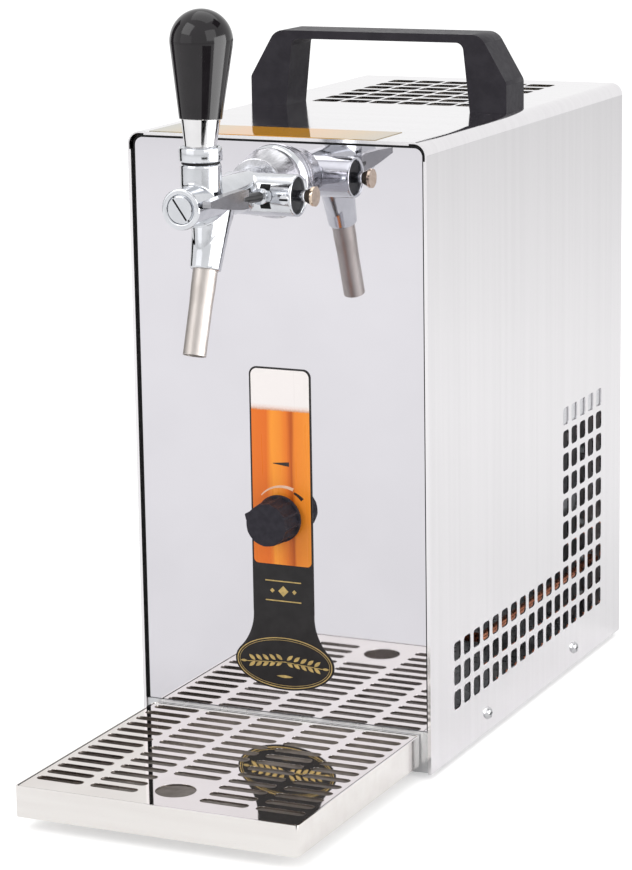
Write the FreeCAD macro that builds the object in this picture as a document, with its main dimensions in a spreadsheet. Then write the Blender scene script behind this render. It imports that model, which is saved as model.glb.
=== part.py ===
import FreeCAD, Part
import math
import os
import re
import Sketcher

# Countertop mini keg beer dispenser with a compensator tap, a drip tray and a dry-cooling unit.
# Frame: +Z up, the tap looks along -Y, X = 0 is the plane of symmetry of the casing, and Z = 0 is
# the surface that the rubber feet stand on.  Millimetres and degrees throughout.

Vector = FreeCAD.Vector
Rotation = FreeCAD.Rotation
doc = FreeCAD.newDocument("MiniKegDispenser")
sheet = doc.addObject("Spreadsheet::Sheet", "Sizes")

SIZES = {
    "Casing": {
        "casing_width": 195, "casing_depth": 340, "casing_height": 382, "foot_height": 3,
        "sheet_gauge": 1, "bend_radius": 8, "hem_gauge": 1, "hem_depth": 12, "hem_notch": 3,
        "fit_gap": 0.2, "seat_gap": 0.3, "overrun": 1,
    },
    "Side vents": {
        "vent_width": 10.8, "vent_height": 11.6, "vent_corner": 2.5,
        "vent_first_y": 42.6, "vent_first_z": 35.6, "vent_pitch_y": 15.8, "vent_pitch_z": 15.45,
        "low_columns": 17, "low_rows": 3, "tall_columns": 5, "tall_rows": 10,
    },
    "Top vents": {
        "top_vent_length": 17.8, "top_vent_width": 14.5, "top_first_y": 186.5,
        "top_pitch_x": 20, "top_pitch_y": 20.4, "top_columns": 6, "top_rows": 7,
    },
    "Screws": {
        "head_radius": 4, "head_crown": 2.6, "head_rise": 2.2, "shank_radius": 1.9, "shank_length": 8,
        "hole_radius": 2.1, "drive_width": 1, "drive_depth": 1.2,
        "side_screw_y": 92, "side_screw_spacing": 156, "side_screw_z": 12.2,
    },
    "Front": {
        "panel_recess": 2.5, "gasket_gap": 1.7, "gasket_depth": 9, "gasket_inset": 0.6,
        "panel_bottom": 26.5, "panel_flange": 12, "panel_corner": 5, "gasket_corner": 6.5,
        "label_width": 40.8, "label_top": 243, "label_low": 92, "label_corner": 5,
        "label_gauge": 0.4, "oval_width": 66.5, "oval_height": 34.5, "oval_z": 59,
        "flare_half": 30.5, "flare_z": 66, "flare_radius": 32,
        "strip_width": 148, "strip_depth": 40, "strip_inset": 1.6, "strip_shift": -9.5,
        "strip_gauge": 0.3,
    },
    "Carry handle": {
        "handle_length": 175.5, "handle_rise": 48, "handle_depth": 30, "handle_y": 166,
        "handle_leg": 24.5, "handle_bar": 5.2, "handle_shoulder": 18.5, "handle_slant": 17.4,
        "handle_lean": 4.7, "handle_outer_round": 10, "handle_inner_round": 5,
        "handle_bore_depth": 16,
    },
    "Tap": {
        "tap_drop": 26.5, "barrel_radius": 11.8, "barrel_reach": 121, "barrel_bore": 8,
        "barrel_bore_start": 113, "seat_front": 72, "seat_rear": 69, "seat_bore": 5,
        "chamber_bore": 7.5, "spigot_radius": 10, "spigot_rear": 16.2, "spigot_collar": 15,
        "spigot_collar_front": 22.2, "chamber_rear": 30, "barrel_start": 26.4,
        "tap_shank_radius": 10.9, "tap_shank_bore": 4,
        "tap_shank_front": 16, "tap_shank_rear": 42, "thread_gap": 0.1,
        "flange_radius": 22, "flange_rim": 2.6, "flange_rise": 6.3, "flange_nose": 19, "flange_dome": 12,
        "washer_radius": 15, "washer_gauge": 1.2, "shank_nut_across": 30, "shank_nut_depth": 7.3,
        "nut_front": 4, "nut_length": 21.4, "nut_radius": 20.5, "nut_nose": 16.8,
        "nut_skirt": 3.5, "nut_dome": 60, "nut_lip": 3, "nut_lip_bore": 10.3, "plug_radius": 8.2,
        "plug_length": 7.5, "plug_proud": 0.8, "plug_slot": 1.3, "plug_slot_depth": 1.6,
        "plug_turn": 35,
    },
    "Tap lever": {
        "neck_reach": 94.5, "neck_radius": 11.7, "neck_top": 22.5, "neck_thread": 10.2,
        "neck_thread_top": 28, "neck_bore": 8.7, "neck_bore_low": 5, "collar_low": 24,
        "collar_high": 32, "collar_radius": 12.3, "collar_mouth": 11.4, "collar_throat": 10,
        "collar_cup": 2, "collar_lip_z": 4.2,
        "collar_seal_radius": 10.9, "collar_lip": 8.8,
        "lever_lean": 4, "lever_arm": 10, "lever_rod": 2, "lever_ball": 2.5,
        "ferrule_low": 9.1, "ferrule_high": 11.2, "ferrule_length": 15.3, "ferrule_flat": 6.5,
        "grip_low": 12.1, "grip_wide": 17.85, "grip_start": 15.6, "grip_centre": 59,
        "rod_reach": 58, "rod_gap": 0.05, "rod_room": 3,
    },
    "Tap valve": {
        "piston_front": 106, "piston_rear": 86, "piston_gap": 0.05, "lug_half": 3.6,
        "lug_side": 2.5, "lug_low": 4, "lug_high": 23.6, "lug_slot": 2.8, "lug_slot_low": 18.4,
        "stem_radius": 2.5, "stem_end": 64, "valve_seal_radius": 6.6, "valve_seal_rear": 65,
    },
    "Spout": {
        "nozzle_end_reach": 108, "nozzle_end_drop": 85, "spout_lean": 19, "hood_length": 40.7,
        "hood_start": 4, "hood_top": 11.7, "hood_end": 8.9, "hood_flare": 16, "hood_flare_start": 6,
        "hood_flare_length": 13, "spout_bore": 6, "nozzle_entry": 8, "nozzle_top": 7.1,
        "nozzle_tip": 6.7, "nozzle_wall": 0.9, "nozzle_taper_start": 10, "nozzle_taper_end": 20,
    },
    "Compensator": {
        "spindle_reach": 37.9, "spindle_drop": 1.8, "housing_radius": 12.3, "housing_left": 12.5,
        "housing_right": 34.2, "spindle_radius": 5.4, "spindle_bore": 5.45, "spindle_left": 8.5,
        "crank_half": 4.5, "crank_radius": 1.8, "crank_offset": 3, "recess_radius": 10.4,
        "recess_left": 28, "bush_thickness": 3, "spindle_neck": 3.4, "button_radius": 5.8,
        "button_start": 38.5, "button_end": 44.6, "button_taper": 4.4,
        "lever_x": 18, "lever_rise": 3.8, "comp_stem": 2.3, "comp_stem_start": 1, "comp_hub_start": 13,
        "comp_hub_end": 20, "comp_hub": 4.6, "comp_neck": 2.9, "paddle_start": 38,
        "paddle_root": 5.3, "paddle_wide": 44, "paddle_wide_half": 5.7, "paddle_mid": 65,
        "paddle_mid_half": 4.1, "paddle_end": 86, "paddle_tip": 1.7, "paddle_gauge": 5,
        "slot_half_width": 2.7, "slot_half_height": 9.8, "cone_front": 56,
        "cone_rear": 45, "cone_small": 3.4, "cone_large": 5.6, "cone_stem": 2,
        "yoke_half": 4.2, "yoke_side": 3.2, "yoke_low": 1.8, "yoke_high": 5.5,
        "yoke_slot": 1.9, "yoke_slot_low": 0.3,
    },
    "Thermostat": {
        "knob_z": 151, "knob_radius": 14.6, "knob_face": 13.2, "knob_skirt": 1.6,
        "knob_rise": 19, "knob_shoulder": 14.3, "knob_socket": 13, "knob_start": 1.5,
        "knob_nose": 15.1, "knob_nose_half": 3,
        "knob_flutes": 12, "knob_flute_first": 0, "flute_radius": 3.2, "flute_reach": 15.6, "knob_turn": 157,
        "control_shaft": 3,
        "control_shaft_gap": 0.05, "control_shaft_rear": 9, "control_half": 19, "control_depth": 28,
        "bushing_radius": 4.9, "bushing_front": 0.5, "bushing_hole": 5.1, "nut_across": 14,
        "nut_thickness": 2,
    },
    "Drip tray": {
        "tray_reach": 172.6, "tray_tuck": 1, "tray_width": 180.4, "tray_top": 24.2,
        "tray_bottom": 5.5, "tray_gauge": 1, "tray_corner": 2.5, "grille_corner": 1.5, "grille_gap": 0.7,
        "grille_gauge": 1.2, "grille_drop": 0.2, "slot_length": 30.2, "slot_width": 6.8, "slot_round": 3.2,
        "slot_pitch_x": 35.3, "slot_pitch_y": 12.2, "slot_first_y": 6.8, "slot_columns": 5,
        "full_rows": 10, "side_columns": 2, "short_rows": 3, "finger_radius": 11.9,
        "finger_reach": 144.5, "pad_radius": 6, "pad_inset_x": 24, "pad_front": 46,
        "pad_rear": 28,
    },
    "Base": {
        "pan_lift": 0.5, "pan_gauge": 1.2, "pan_rim": 18, "pan_front": 1.6, "pan_front_rim": 25.7,
        "foot_radius": 11, "foot_bevel": 1.2, "foot_inset": 22, "foot_stem": 3, "foot_stem_head": 4.6,
        "rear_inset": 2, "rear_gauge": 1, "rear_corner": 6.5, "rear_screw_inset": 30, "tab_width": 12,
        "tab_height": 14, "tab_gauge": 1.5, "tab_low": 60, "tab_drop": 52,
        "rear_slot_length": 20, "rear_slot_height": 7, "rear_slot_pitch_x": 25,
        "rear_slot_pitch_z": 12, "rear_slot_columns": 6, "rear_slot_rows": 12,
        "rear_slot_first_z": 28,
    },
    "Cooling unit": {
        "compressor_x": -28, "compressor_y": 112, "compressor_radius": 42,
        "compressor_height": 62, "compressor_lift": 12, "compressor_dome": 14,
        "compressor_foot": 50, "foot_plate": 3, "mount_radius": 8, "mount_inset": 10,
        "condenser_half": 76, "condenser_low": 16, "condenser_headroom": 11,
        "condenser_gap": 4, "condenser_depth": 22, "tube_radius": 3.5, "condenser_bend": 4,
        "fin_count": 17,
        "fin_gauge": 0.6, "tube_rows": 6, "shroud_gauge": 1.2, "shroud_depth": 5,
        "fan_rim": 22, "fan_clear": 3, "fan_blades": 6, "fan_hub": 14,
        "blade_gauge": 1.2, "blade_width": 12, "blade_pitch": 28, "fan_lead": 19,
        "fan_depth": 12, "motor_gap": 3, "motor_length": 33, "motor_radius": 24,
        "motor_bore": 12, "arm_half": 3.5, "arm_gauge": 2,
        "strap_half": 66, "fan_shaft": 1.6,
        "cold_bay": 201, "shelf_gauge": 1.2, "shelf_front": 48, "shelf_back": 11,
        "shelf_skirt": 14, "foam_half": 76, "foam_front": 54, "foam_gap": 16,
        "foam_drop": 21.8, "foam_wall": 16, "foam_lid": 16, "block_half": 52,
        "block_gap": 0.5, "foam_back": 37, "block_drop": 33, "coil_radius": 4,
        "tube_wall": 1, "outlet_height": 82, "pipe_radius": 3, "pipe_room": 1, "pipe_x": -85,
        "liquid_reach": 180,
        "liquid_lift": 75, "suction_lift": 55, "return_lift": 55, "dryer_radius": 9,
        "dryer_length": 60, "dryer_y": 200, "dryer_z": 60,
    },
    "Air pump and rear fittings": {
        "pump_x": -44, "pump_half": 34, "pump_back": 21, "pump_depth": 64,
        "pump_height": 46, "pump_feet": 4, "pump_foot_radius": 4, "pump_foot_inset": 8,
        "barb_length": 8, "hose_radius": 4, "hose_wall": 1.2,
        "air_x": -44, "air_drop": 120, "beer_x": 44, "beer_drop": 82,
        "beer_tube": 4.85, "air_tube": 4.1, "collet_wall": 1.5, "collet_gap": 0.1,
        "collet_head": 3, "collet_lip": 1.4, "collet_travel": 1.5, "fitting_wall": 2,
        "fitting_inner": 18, "fitting_outer": 9, "fitting_across": 22, "fitting_hex": 5,
        "fitting_shank": 9.5, "collet_depth": 14,
        "inlet_x": 30, "inlet_drop": 157, "inlet_half_x": 13.8, "inlet_half_z": 10,
        "inlet_flange_x": 24, "inlet_flange_z": 14, "inlet_flange": 3, "inlet_depth": 24,
        "inlet_wall": 1.6, "inlet_socket": 17, "pin_offset": 2,
        "pin_half_x": 1, "pin_half_z": 2, "pin_spacing": 6, "switch_drop": 120,
        "switch_x": 4, "switch_spacing": 26, "switch_half_x": 7.2, "switch_half_z": 9.8,
        "switch_depth": 18, "rocker_half_x": 5, "rocker_half_z": 7.6,
        "bezel_wall": 2, "bezel_rise": 2, "rocker_gap": 0.6, "rocker_depth": 5,
        "rocker_rise": 3.4, "rocker_peak": 1.6, "rocker_tip": 7, "rocker_foot": 6,
        "rocker_pivot": 0.5, "rocker_tilt": 8, "rocker_room": 6,
    },
}

# Places that follow from the sizes; each is a formula in the words above.
FORMULAS = {
    "rear_reach": "fitting_outer + collet_stand + collet_head",
    "collet_stand": "collet_travel + 0.5",
    "front_y": "(tray_reach - casing_depth - rear_reach) / 2",
    "rear_y": "front_y + casing_depth",
    "edge_z": "foot_height",
    "top_z": "foot_height + casing_height",
    "half_width": "casing_width / 2",
    "inner_half": "casing_width / 2 - sheet_gauge",
    "panel_half": "inner_half - hem_gauge - gasket_gap",
    "panel_y": "front_y + panel_recess",
    "panel_low": "edge_z + panel_bottom",
    "panel_high": "top_z - sheet_gauge - hem_gauge - gasket_gap",
    "tap_z": "top_z - tap_drop",
    "neck_y": "front_y - neck_reach",
    "pivot_z": "tap_z + collar_high",
    "grip_reach": "sqrt(grip_low ^ 2 + (grip_centre - grip_start) ^ 2)",
    "grip_turn": "atan((grip_centre - grip_start) / grip_low) - acos(grip_wide / grip_reach)",
    "spindle_y": "front_y - spindle_reach",
    "spindle_z": "tap_z - spindle_drop",
    "slot_y": "neck_y - lever_arm * sin(lever_lean)",
    "spout_y": "front_y - nozzle_end_reach + nozzle_end_drop * tan(spout_lean)",
    "spout_length": "nozzle_end_drop / cos(spout_lean)",
    "tray_half": "tray_width / 2",
    "tray_front_y": "front_y - tray_reach",
    "tray_rear_y": "front_y + tray_tuck",
    "tray_low_z": "edge_z + tray_bottom",
    "tray_high_z": "edge_z + tray_top",
    "grille_half": "tray_half - tray_gauge - grille_gap",
    "grille_front_y": "tray_front_y + tray_gauge + grille_gap",
    "grille_rear_y": "tray_rear_y - tray_gauge - grille_gap",
    "grille_high_z": "tray_high_z - grille_drop",
    "knob_height": "edge_z + knob_z",
    "pan_z": "edge_z + pan_lift",
    "pan_half": "inner_half - fit_gap",
    "pan_front_y": "front_y + pan_front",
    "rear_plate_y": "rear_y - rear_inset",
    "pan_rear_y": "rear_plate_y - rear_gauge - fit_gap",
    "shelf_z": "casing_height - cold_bay",
    "shelf_high_z": "edge_z + shelf_z + shelf_gauge",
    "condenser_high": "shelf_z - condenser_headroom",
    "fan_z": "(condenser_low + condenser_high) / 2",
    "fan_radius": "(condenser_high - condenser_low) / 2 - fan_rim",
    "foam_front_y": "front_y + foam_front",
    "foam_rear_y": "pump_front_y - foam_gap",
    "foam_high_z": "top_z - foam_drop",
    "block_front_y": "foam_front_y + foam_wall + block_gap",
    "block_rear_y": "foam_rear_y - foam_back - block_gap",
    "block_low_z": "shelf_high_z + foam_wall + block_gap",
    "block_high_z": "foam_high_z - block_drop - block_gap",
    "condenser_front_y": "condenser_rear_y - condenser_depth",
    "condenser_rear_y": "rear_plate_y - rear_gauge - condenser_gap",
    "fan_axis_z": "edge_z + fan_z",
    "shroud_front_y": "condenser_front_y - shroud_depth",
    "outlet_z": "tap_z - outlet_height",
    "fitting_inner_y": "rear_plate_y - rear_gauge - fitting_inner",
    "condenser_y": "(condenser_front_y + condenser_rear_y) / 2",
    "liquid_y": "front_y + liquid_reach",
    "liquid_z": "shelf_high_z + liquid_lift",
    "suction_z": "shelf_high_z + suction_lift",
    "return_z": "edge_z + return_lift",
    "dryer_front_y": "front_y + dryer_y",
    "dryer_height": "edge_z + dryer_z",
    "pump_mid_y": "rear_plate_y - rear_gauge - pump_back - pump_depth / 2",
    "tab_low_z": "edge_z + tab_low",
    "tab_high_z": "top_z - tab_drop",
    "fan_front_y": "condenser_front_y - fan_lead",
    "motor_rear_y": "fan_front_y - motor_gap",
    "motor_front_y": "motor_rear_y - motor_length",
    "pump_rear_y": "rear_plate_y - rear_gauge - pump_back",
    "pump_front_y": "pump_rear_y - pump_depth",
    "air_z": "top_z - air_drop",
    "beer_z": "top_z - beer_drop",
    "inlet_z": "top_z - inlet_drop",
    "switch_z": "top_z - switch_drop",
}


def fill_sheet():
    """Writes every size into the spreadsheet as a plain number with its name as the alias."""
    row = 1
    for group, sizes in SIZES.items():
        sheet.set("A%d" % row, group)
        row += 1
        for name, number in sizes.items():
            sheet.set("A%d" % row, name)
            sheet.set("B%d" % row, str(number))
            sheet.setAlias("B%d" % row, name)
            row += 1
    doc.recompute()


ALIASES = {name for sizes in SIZES.values() for name in sizes}


def bound(expression):
    """Turns a formula in size names into an expression on the spreadsheet's cells."""
    def cell(match):
        word = match.group(0)
        if word in FORMULAS:
            return "(" + bound(FORMULAS[word]) + ")"
        return "Sizes." + word if word in ALIASES else word
    return re.sub(r"[a-z][a-z_0-9]*", cell, str(expression))


def value(expression):
    result = sheet.evalExpression(bound(expression))
    return float(getattr(result, "Value", result))


def count(name):
    return int(round(value(name)))


# ---- objects -------------------------------------------------------------------------------

TURNS = {
    "z": Rotation(),
    "-z": Rotation(Vector(1, 0, 0), 180),
    "y": Rotation(Vector(1, 0, 0), -90),
    "-y": Rotation(Vector(1, 0, 0), 90),
    "x": Rotation(Vector(0, 1, 0), 90),
    "-x": Rotation(Vector(0, 1, 0), -90),
}
nodes = []
made = {}


def new_object(kind, name):
    """Adds an object whose internal name stays unique even where a helper is repeated."""
    made[name] = made.get(name, 0) + 1
    label = name if made[name] == 1 else "%s_%d" % (name, made[name])
    thing = doc.addObject(kind, label)
    thing.Label = label
    return thing


def place(thing, at, turn=Rotation()):
    thing.Placement = FreeCAD.Placement(Vector(*[value(c) for c in at]), turn)
    for axis, expression in zip("xyz", at):
        thing.setExpression("Placement.Base." + axis, bound(expression))
    return thing


def node(label, thing):
    """Names a finished piece: its Label is the name of its STEP file."""
    thing.Label = label
    nodes.append((label, thing))
    return thing


def box(name, x, y, z):
    """Block between two planes on each axis; x, y and z are pairs of formulas, low then high."""
    block = new_object("Part::Box", name)
    for side, (low, high) in zip(("Length", "Width", "Height"), (x, y, z)):
        block.setExpression(side, bound("(%s) - (%s)" % (high, low)))
    return place(block, (x[0], y[0], z[0]))


def rod(name, radius, at, axis, length):
    """Round bar that starts at a point and runs along an axis."""
    bar = new_object("Part::Cylinder", name)
    bar.setExpression("Radius", bound(radius))
    bar.setExpression("Height", bound(length))
    return place(bar, at, TURNS[axis])


def cone(name, radius, end_radius, at, axis, length):
    taper = new_object("Part::Cone", name)
    taper.setExpression("Radius1", bound(radius))
    taper.setExpression("Radius2", bound(end_radius))
    taper.setExpression("Height", bound(length))
    return place(taper, at, TURNS[axis])


def ball(name, radius, at):
    globe = new_object("Part::Sphere", name)
    globe.setExpression("Radius", bound(radius))
    return place(globe, at)


def hexagon(name, across, at, axis, length):
    """Hexagonal bar; across is its size over the flats."""
    prism = new_object("Part::Prism", name)
    prism.Polygon = 6
    prism.setExpression("Circumradius", bound("(%s) / sqrt(3)" % across))
    prism.setExpression("Height", bound(length))
    return place(prism, at, TURNS[axis])


def fuse(name, *parts):
    whole = new_object("Part::MultiFuse", name)
    whole.Shapes = list(parts)
    whole.Refine = True
    return whole


def cut(name, base, *tools):
    left = new_object("Part::Cut", name)
    left.Base = base
    left.Tool = tools[0] if len(tools) == 1 else fuse(name + "_tools", *tools)
    left.Refine = True
    return left


def common(name, first, second):
    shared = new_object("Part::Common", name)
    shared.Base = first
    shared.Tool = second
    return shared


def group(name, parts):
    """Identical loose pieces that share one node."""
    bunch = new_object("Part::Compound", name)
    bunch.Links = list(parts)
    return bunch


# ---- sketched bodies -----------------------------------------------------------------------

def origin_plane(body, role):
    return [item for item in body.Origin.OriginFeatures if item.Role == role][0]


def arc_middle(start, end, radius, side):
    """Point half way along the short arc between two points; side +1 bulges to the left of travel."""
    chord = end - start
    half = chord.Length / 2
    rise = radius - math.sqrt(max(radius * radius - half * half, 0))
    normal = Vector(-chord.y, chord.x, 0).normalize()
    return (start + end) * 0.5 + normal * (rise * side)


def draw(sketch, outline):
    """Draws one closed outline and binds each of its corners to the sheet.

    A corner is (across, along), or (across, along, radius, side) where the edge that arrives
    there is an arc of that radius."""
    first = sketch.GeometryCount
    corners = [Vector(value(corner[0]), value(corner[1]), 0) for corner in outline]
    ends = []
    for index, start in enumerate(corners):
        following = (index + 1) % len(corners)
        arrival = outline[following]
        number = first + index
        if len(arrival) > 2:
            middle = arc_middle(start, corners[following], value(arrival[2]), arrival[3])
            sketch.addGeometry(Part.Arc(start, middle, corners[following]), False)
            forward = (sketch.getPoint(number, 1) - start).Length < 1e-6
            ends.append((1, 2) if forward else (2, 1))
            fixed = sketch.addConstraint(Sketcher.Constraint("Radius", number, value(arrival[2])))
            sketch.setExpression("Constraints[%d]" % fixed, bound(arrival[2]))
        else:
            sketch.addGeometry(Part.LineSegment(start, corners[following]), False)
            ends.append((1, 2))
    for index, corner in enumerate(outline):
        number = first + index
        before = (index - 1) % len(outline)
        sketch.addConstraint(Sketcher.Constraint(
            "Coincident", first + before, ends[before][1], number, ends[index][0]))
        for kind, expression in (("DistanceX", corner[0]), ("DistanceY", corner[1])):
            fixed = sketch.addConstraint(Sketcher.Constraint(
                kind, -1, 1, number, ends[index][0], value(expression)))
            sketch.setExpression("Constraints[%d]" % fixed, bound(expression))


def rounded(x, z, low_radius, high_radius):
    """Rectangle outline with rounded corners; a radius of "0" leaves that pair sharp."""
    (x_low, x_high), (z_low, z_high) = x, z
    corners = []
    for across, along, radius, inward, upward, turn_first in (
            (x_high, z_low, low_radius, "-", "+", True),
            (x_high, z_high, high_radius, "-", "-", False),
            (x_low, z_high, high_radius, "+", "-", True),
            (x_low, z_low, low_radius, "+", "+", False)):
        if radius == "0":
            corners.append((across, along))
            continue
        beside = "(%s) %s (%s)" % (across, inward, radius)
        above = "(%s) %s (%s)" % (along, upward, radius)
        if turn_first:
            corners += [(beside, along), (across, above, radius, -1)]
        else:
            corners += [(across, above), (beside, along, radius, -1)]
    return corners


def sketch_on(body, plane, outlines, offset="0"):
    """Sketch on one of the body's own origin planes, moved along that plane's normal by offset."""
    drawing = body.newObject("Sketcher::SketchObject", body.Name + "_sketch")
    drawing.AttachmentSupport = [(origin_plane(body, plane + "_Plane"), "")]
    drawing.MapMode = "FlatFace"
    drawing.AttachmentOffset = FreeCAD.Placement(Vector(0, 0, value(offset)), Rotation())
    drawing.setExpression("AttachmentOffset.Base.z", bound(offset))
    for outline in outlines:
        draw(drawing, outline)
    return drawing


def padded(name, plane, outlines, length, at=("0", "0", "0"), offset="0", turn=Rotation()):
    """Body padded from its sketch: XY pads go up, XZ pads go to the rear, YZ pads go to +X."""
    body = new_object("PartDesign::Body", name)
    pad = body.newObject("PartDesign::Pad", name + "_pad")
    pad.Profile = sketch_on(body, plane, outlines, offset)
    pad.setExpression("Length", bound(length))
    pad.Reversed = plane == "XZ"
    body.Tip = pad
    return place(body, at, turn)


EVEN_STEP = -1.0  # marks a step of a pattern that keeps the pattern's own pitch


def repeat(body, feature, pitch, number):
    """Repeats a sketched feature of the body on a grid along its sketch's own two axes."""
    grid = body.newObject("PartDesign::LinearPattern", body.Name + "_grid")
    grid.Originals = [feature]
    for end, axis, step, many in zip(("", "2"), ("H_Axis", "V_Axis"), pitch, number):
        setattr(grid, "Direction" + end, (feature.Profile[0], [axis]))
        setattr(grid, "Mode" + end, "Spacing")
        grid.setExpression("Offset" + end, bound(step))
        grid.setExpression("Occurrences" + end, bound(many))
        setattr(grid, "Spacings" + end, [EVEN_STEP] * (count(many) - 1))
    body.Tip = grid


def pierce(body, plane, outline, pitch=None, number=None):
    """Cuts an outline right through the body, both ways from the plane, and repeats it on a grid."""
    before = body.Shape.Volume if not body.Shape.isNull() else 0
    hole = body.newObject("PartDesign::Pocket", body.Name + "_pocket")
    hole.Profile = sketch_on(body, plane, [outline])
    hole.Type = "ThroughAll"
    hole.Midplane = True
    body.Tip = hole
    if pitch:
        repeat(body, hole, pitch, number)
    doc.recompute()
    if body.Shape.Volume >= before > 0:
        raise RuntimeError("nothing was cut from " + body.Label)
    return body


def turned(name, outline, at=("0", "0", "0"), axis="z", turn=None):
    """Body turned about an axis from an outline of (radius, distance along the axis) corners."""
    body = new_object("PartDesign::Body", name)
    spin = body.newObject("PartDesign::Revolution", name + "_turn")
    drawing = sketch_on(body, "XZ", [outline])
    spin.Profile = drawing
    spin.ReferenceAxis = (drawing, ["V_Axis"])
    spin.Angle = 360
    body.Tip = spin
    return place(body, at, turn or TURNS[axis])


def round_edges(body, radius, chosen):
    """Rounds the edges of the body's last feature for which chosen(edge) is true."""
    doc.recompute()
    last = body.Tip
    names = ["Edge%d" % (i + 1) for i, edge in enumerate(last.Shape.Edges) if chosen(edge)]
    fillet = body.newObject("PartDesign::Fillet", body.Name + "_fillet")
    fillet.Base = (last, names)
    fillet.setExpression("Radius", bound(radius))
    body.Tip = fillet
    return body


# ---- casing --------------------------------------------------------------------------------

SIDES = ("-1", "1")


def inward(side, face, thickness):
    """The two X planes of a sheet that lies against the inside of a wall on one side."""
    near, far = "%s * (%s)" % (side, face), "%s * (%s - (%s))" % (side, face, thickness)
    return (near, far) if side == "-1" else (far, near)


def side_screw_places():
    return ["front_y + side_screw_y", "front_y + side_screw_y + side_screw_spacing"]


def leg_centres():
    return ["%s * (handle_length - handle_leg) / 2" % side for side in SIDES]


def rear_screw_places():
    """Centres of the rear plate's screws: two into the base pan, then four into casing tabs."""
    low = [("%s * (pan_half - rear_screw_inset)" % side, "pan_z + pan_rim / 2") for side in SIDES]
    tabs = [("%s * (inner_half - tab_width / 2)" % side, level)
            for side in SIDES for level in ("tab_low_z", "tab_high_z")]
    return low + tabs


def vent_outline(y, z):
    return rounded(("(%s) - vent_width / 2" % y, "(%s) + vent_width / 2" % y),
                   ("(%s) - vent_height / 2" % z, "(%s) + vent_height / 2" % z),
                   "vent_corner", "vent_corner")


def outer_casing():
    """Folded sheet cover: an upside-down U with a folded hem round its front opening."""
    cover = padded("casing_cover", "XZ",
                   [rounded(("-half_width", "half_width"), ("edge_z", "top_z"), "0", "bend_radius")],
                   "casing_depth", ("0", "front_y", "0"))
    pitch = ("vent_pitch_y", "vent_pitch_z")
    pierce(cover, "YZ", vent_outline("vent_first_y", "edge_z + vent_first_z"), pitch,
           ("low_columns", "low_rows"))
    pierce(cover, "YZ", vent_outline("vent_first_y + (low_columns - tall_columns) * vent_pitch_y",
                                     "edge_z + vent_first_z + low_rows * vent_pitch_z"), pitch,
           ("tall_columns", "tall_rows - low_rows"))
    hollow = padded("casing_hollow", "XZ",
                    [rounded(("-inner_half", "inner_half"), ("0", "top_z - sheet_gauge"), "0",
                             "bend_radius - sheet_gauge")],
                    "casing_depth + 2 * hem_depth", ("0", "front_y - hem_depth", "0"))
    first_x = "-(top_columns - 1) * top_pitch_x / 2"
    vents = padded("top_vents", "XY",
                   [rounded((first_x + " - top_vent_length / 2", first_x + " + top_vent_length / 2"),
                            ("top_first_y - top_vent_width / 2", "top_first_y + top_vent_width / 2"),
                            "vent_corner", "vent_corner")],
                   "2 * bend_radius", ("0", "front_y", "top_z - bend_radius"))
    doc.recompute()
    repeat(vents, vents.Tip, ("top_pitch_x", "top_pitch_y"), ("top_columns", "top_rows"))
    folds = [box("casing_hem", inward(side, "inner_half", "hem_gauge"),
                 ("front_y", "front_y + hem_depth"), ("edge_z", "top_z - bend_radius - hem_notch"))
             for side in SIDES]
    folds.append(box("casing_hem", ("-half_width + bend_radius + hem_notch",
                                    "half_width - bend_radius - hem_notch"),
                     ("front_y", "front_y + hem_depth"),
                     ("top_z - sheet_gauge - hem_gauge", "top_z - sheet_gauge")))
    folds += [box("casing_tab", inward(side, "inner_half", "tab_width"),
                  ("pan_rear_y - tab_gauge", "pan_rear_y"),
                  around(level, "tab_height / 2"))
              for side in SIDES for level in ("tab_low_z", "tab_high_z")]
    holes = [rod("side_screw_hole", "hole_radius", ("-half_width - overrun", y, "edge_z + side_screw_z"),
                 "x", "casing_width + 2 * overrun")
             for y in side_screw_places()]
    holes += [rod("handle_screw_hole", "hole_radius",
                  (x, "front_y + handle_y", "top_z - bend_radius"), "z", "2 * bend_radius")
              for x in leg_centres()]
    holes += [rod("tab_hole", "hole_radius", (x, "pan_rear_y - 2 * tab_gauge", z), "y",
                  "3 * tab_gauge")
              for x, z in rear_screw_places()[2:]]
    shell = cut("casing_shell", cover, hollow, vents)
    return node("outer_casing", cut("casing_drilled", fuse("casing_folded", shell, *folds), *holes))


def pan_head(name, at, axis):
    """Cross-recessed screw; its head seats on the face at the point, its shank runs along axis."""
    head = turned(name + "_head", [("0", "0"), ("head_radius", "0"),
                                   ("head_crown", "-head_rise", "head_radius", 1),
                                   ("0", "-head_rise")])
    shank = rod(name + "_shank", "shank_radius", ("0", "0", "0"), "z", "shank_length")
    long_way = ("-head_crown", "head_crown")
    short_way = ("-drive_width / 2", "drive_width / 2")
    depth = ("-head_rise - drive_depth", "-head_rise + drive_depth")
    screw = cut(name, fuse(name + "_solid", head, shank),
                box(name + "_recess", long_way, short_way, depth),
                box(name + "_recess", short_way, long_way, depth))
    return place(screw, at, TURNS[axis])


def casing_screws():
    """Twelve like screws: four in the sides, six in the rear plate, two up into the handle."""
    sides = [("%s * half_width" % side, y, "edge_z + side_screw_z", axis)
             for side, axis in zip(SIDES, ("x", "-x")) for y in side_screw_places()]
    rear = [(x, "rear_plate_y", z, "-y") for x, z in rear_screw_places()]
    legs = [(x, "front_y + handle_y", "top_z - sheet_gauge", "z") for x in leg_centres()]
    return node("casing_screws", group("screw_set", [
        pan_head("pan_screw", (x, y, z), axis) for x, y, z, axis in sides + rear + legs]))


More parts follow.
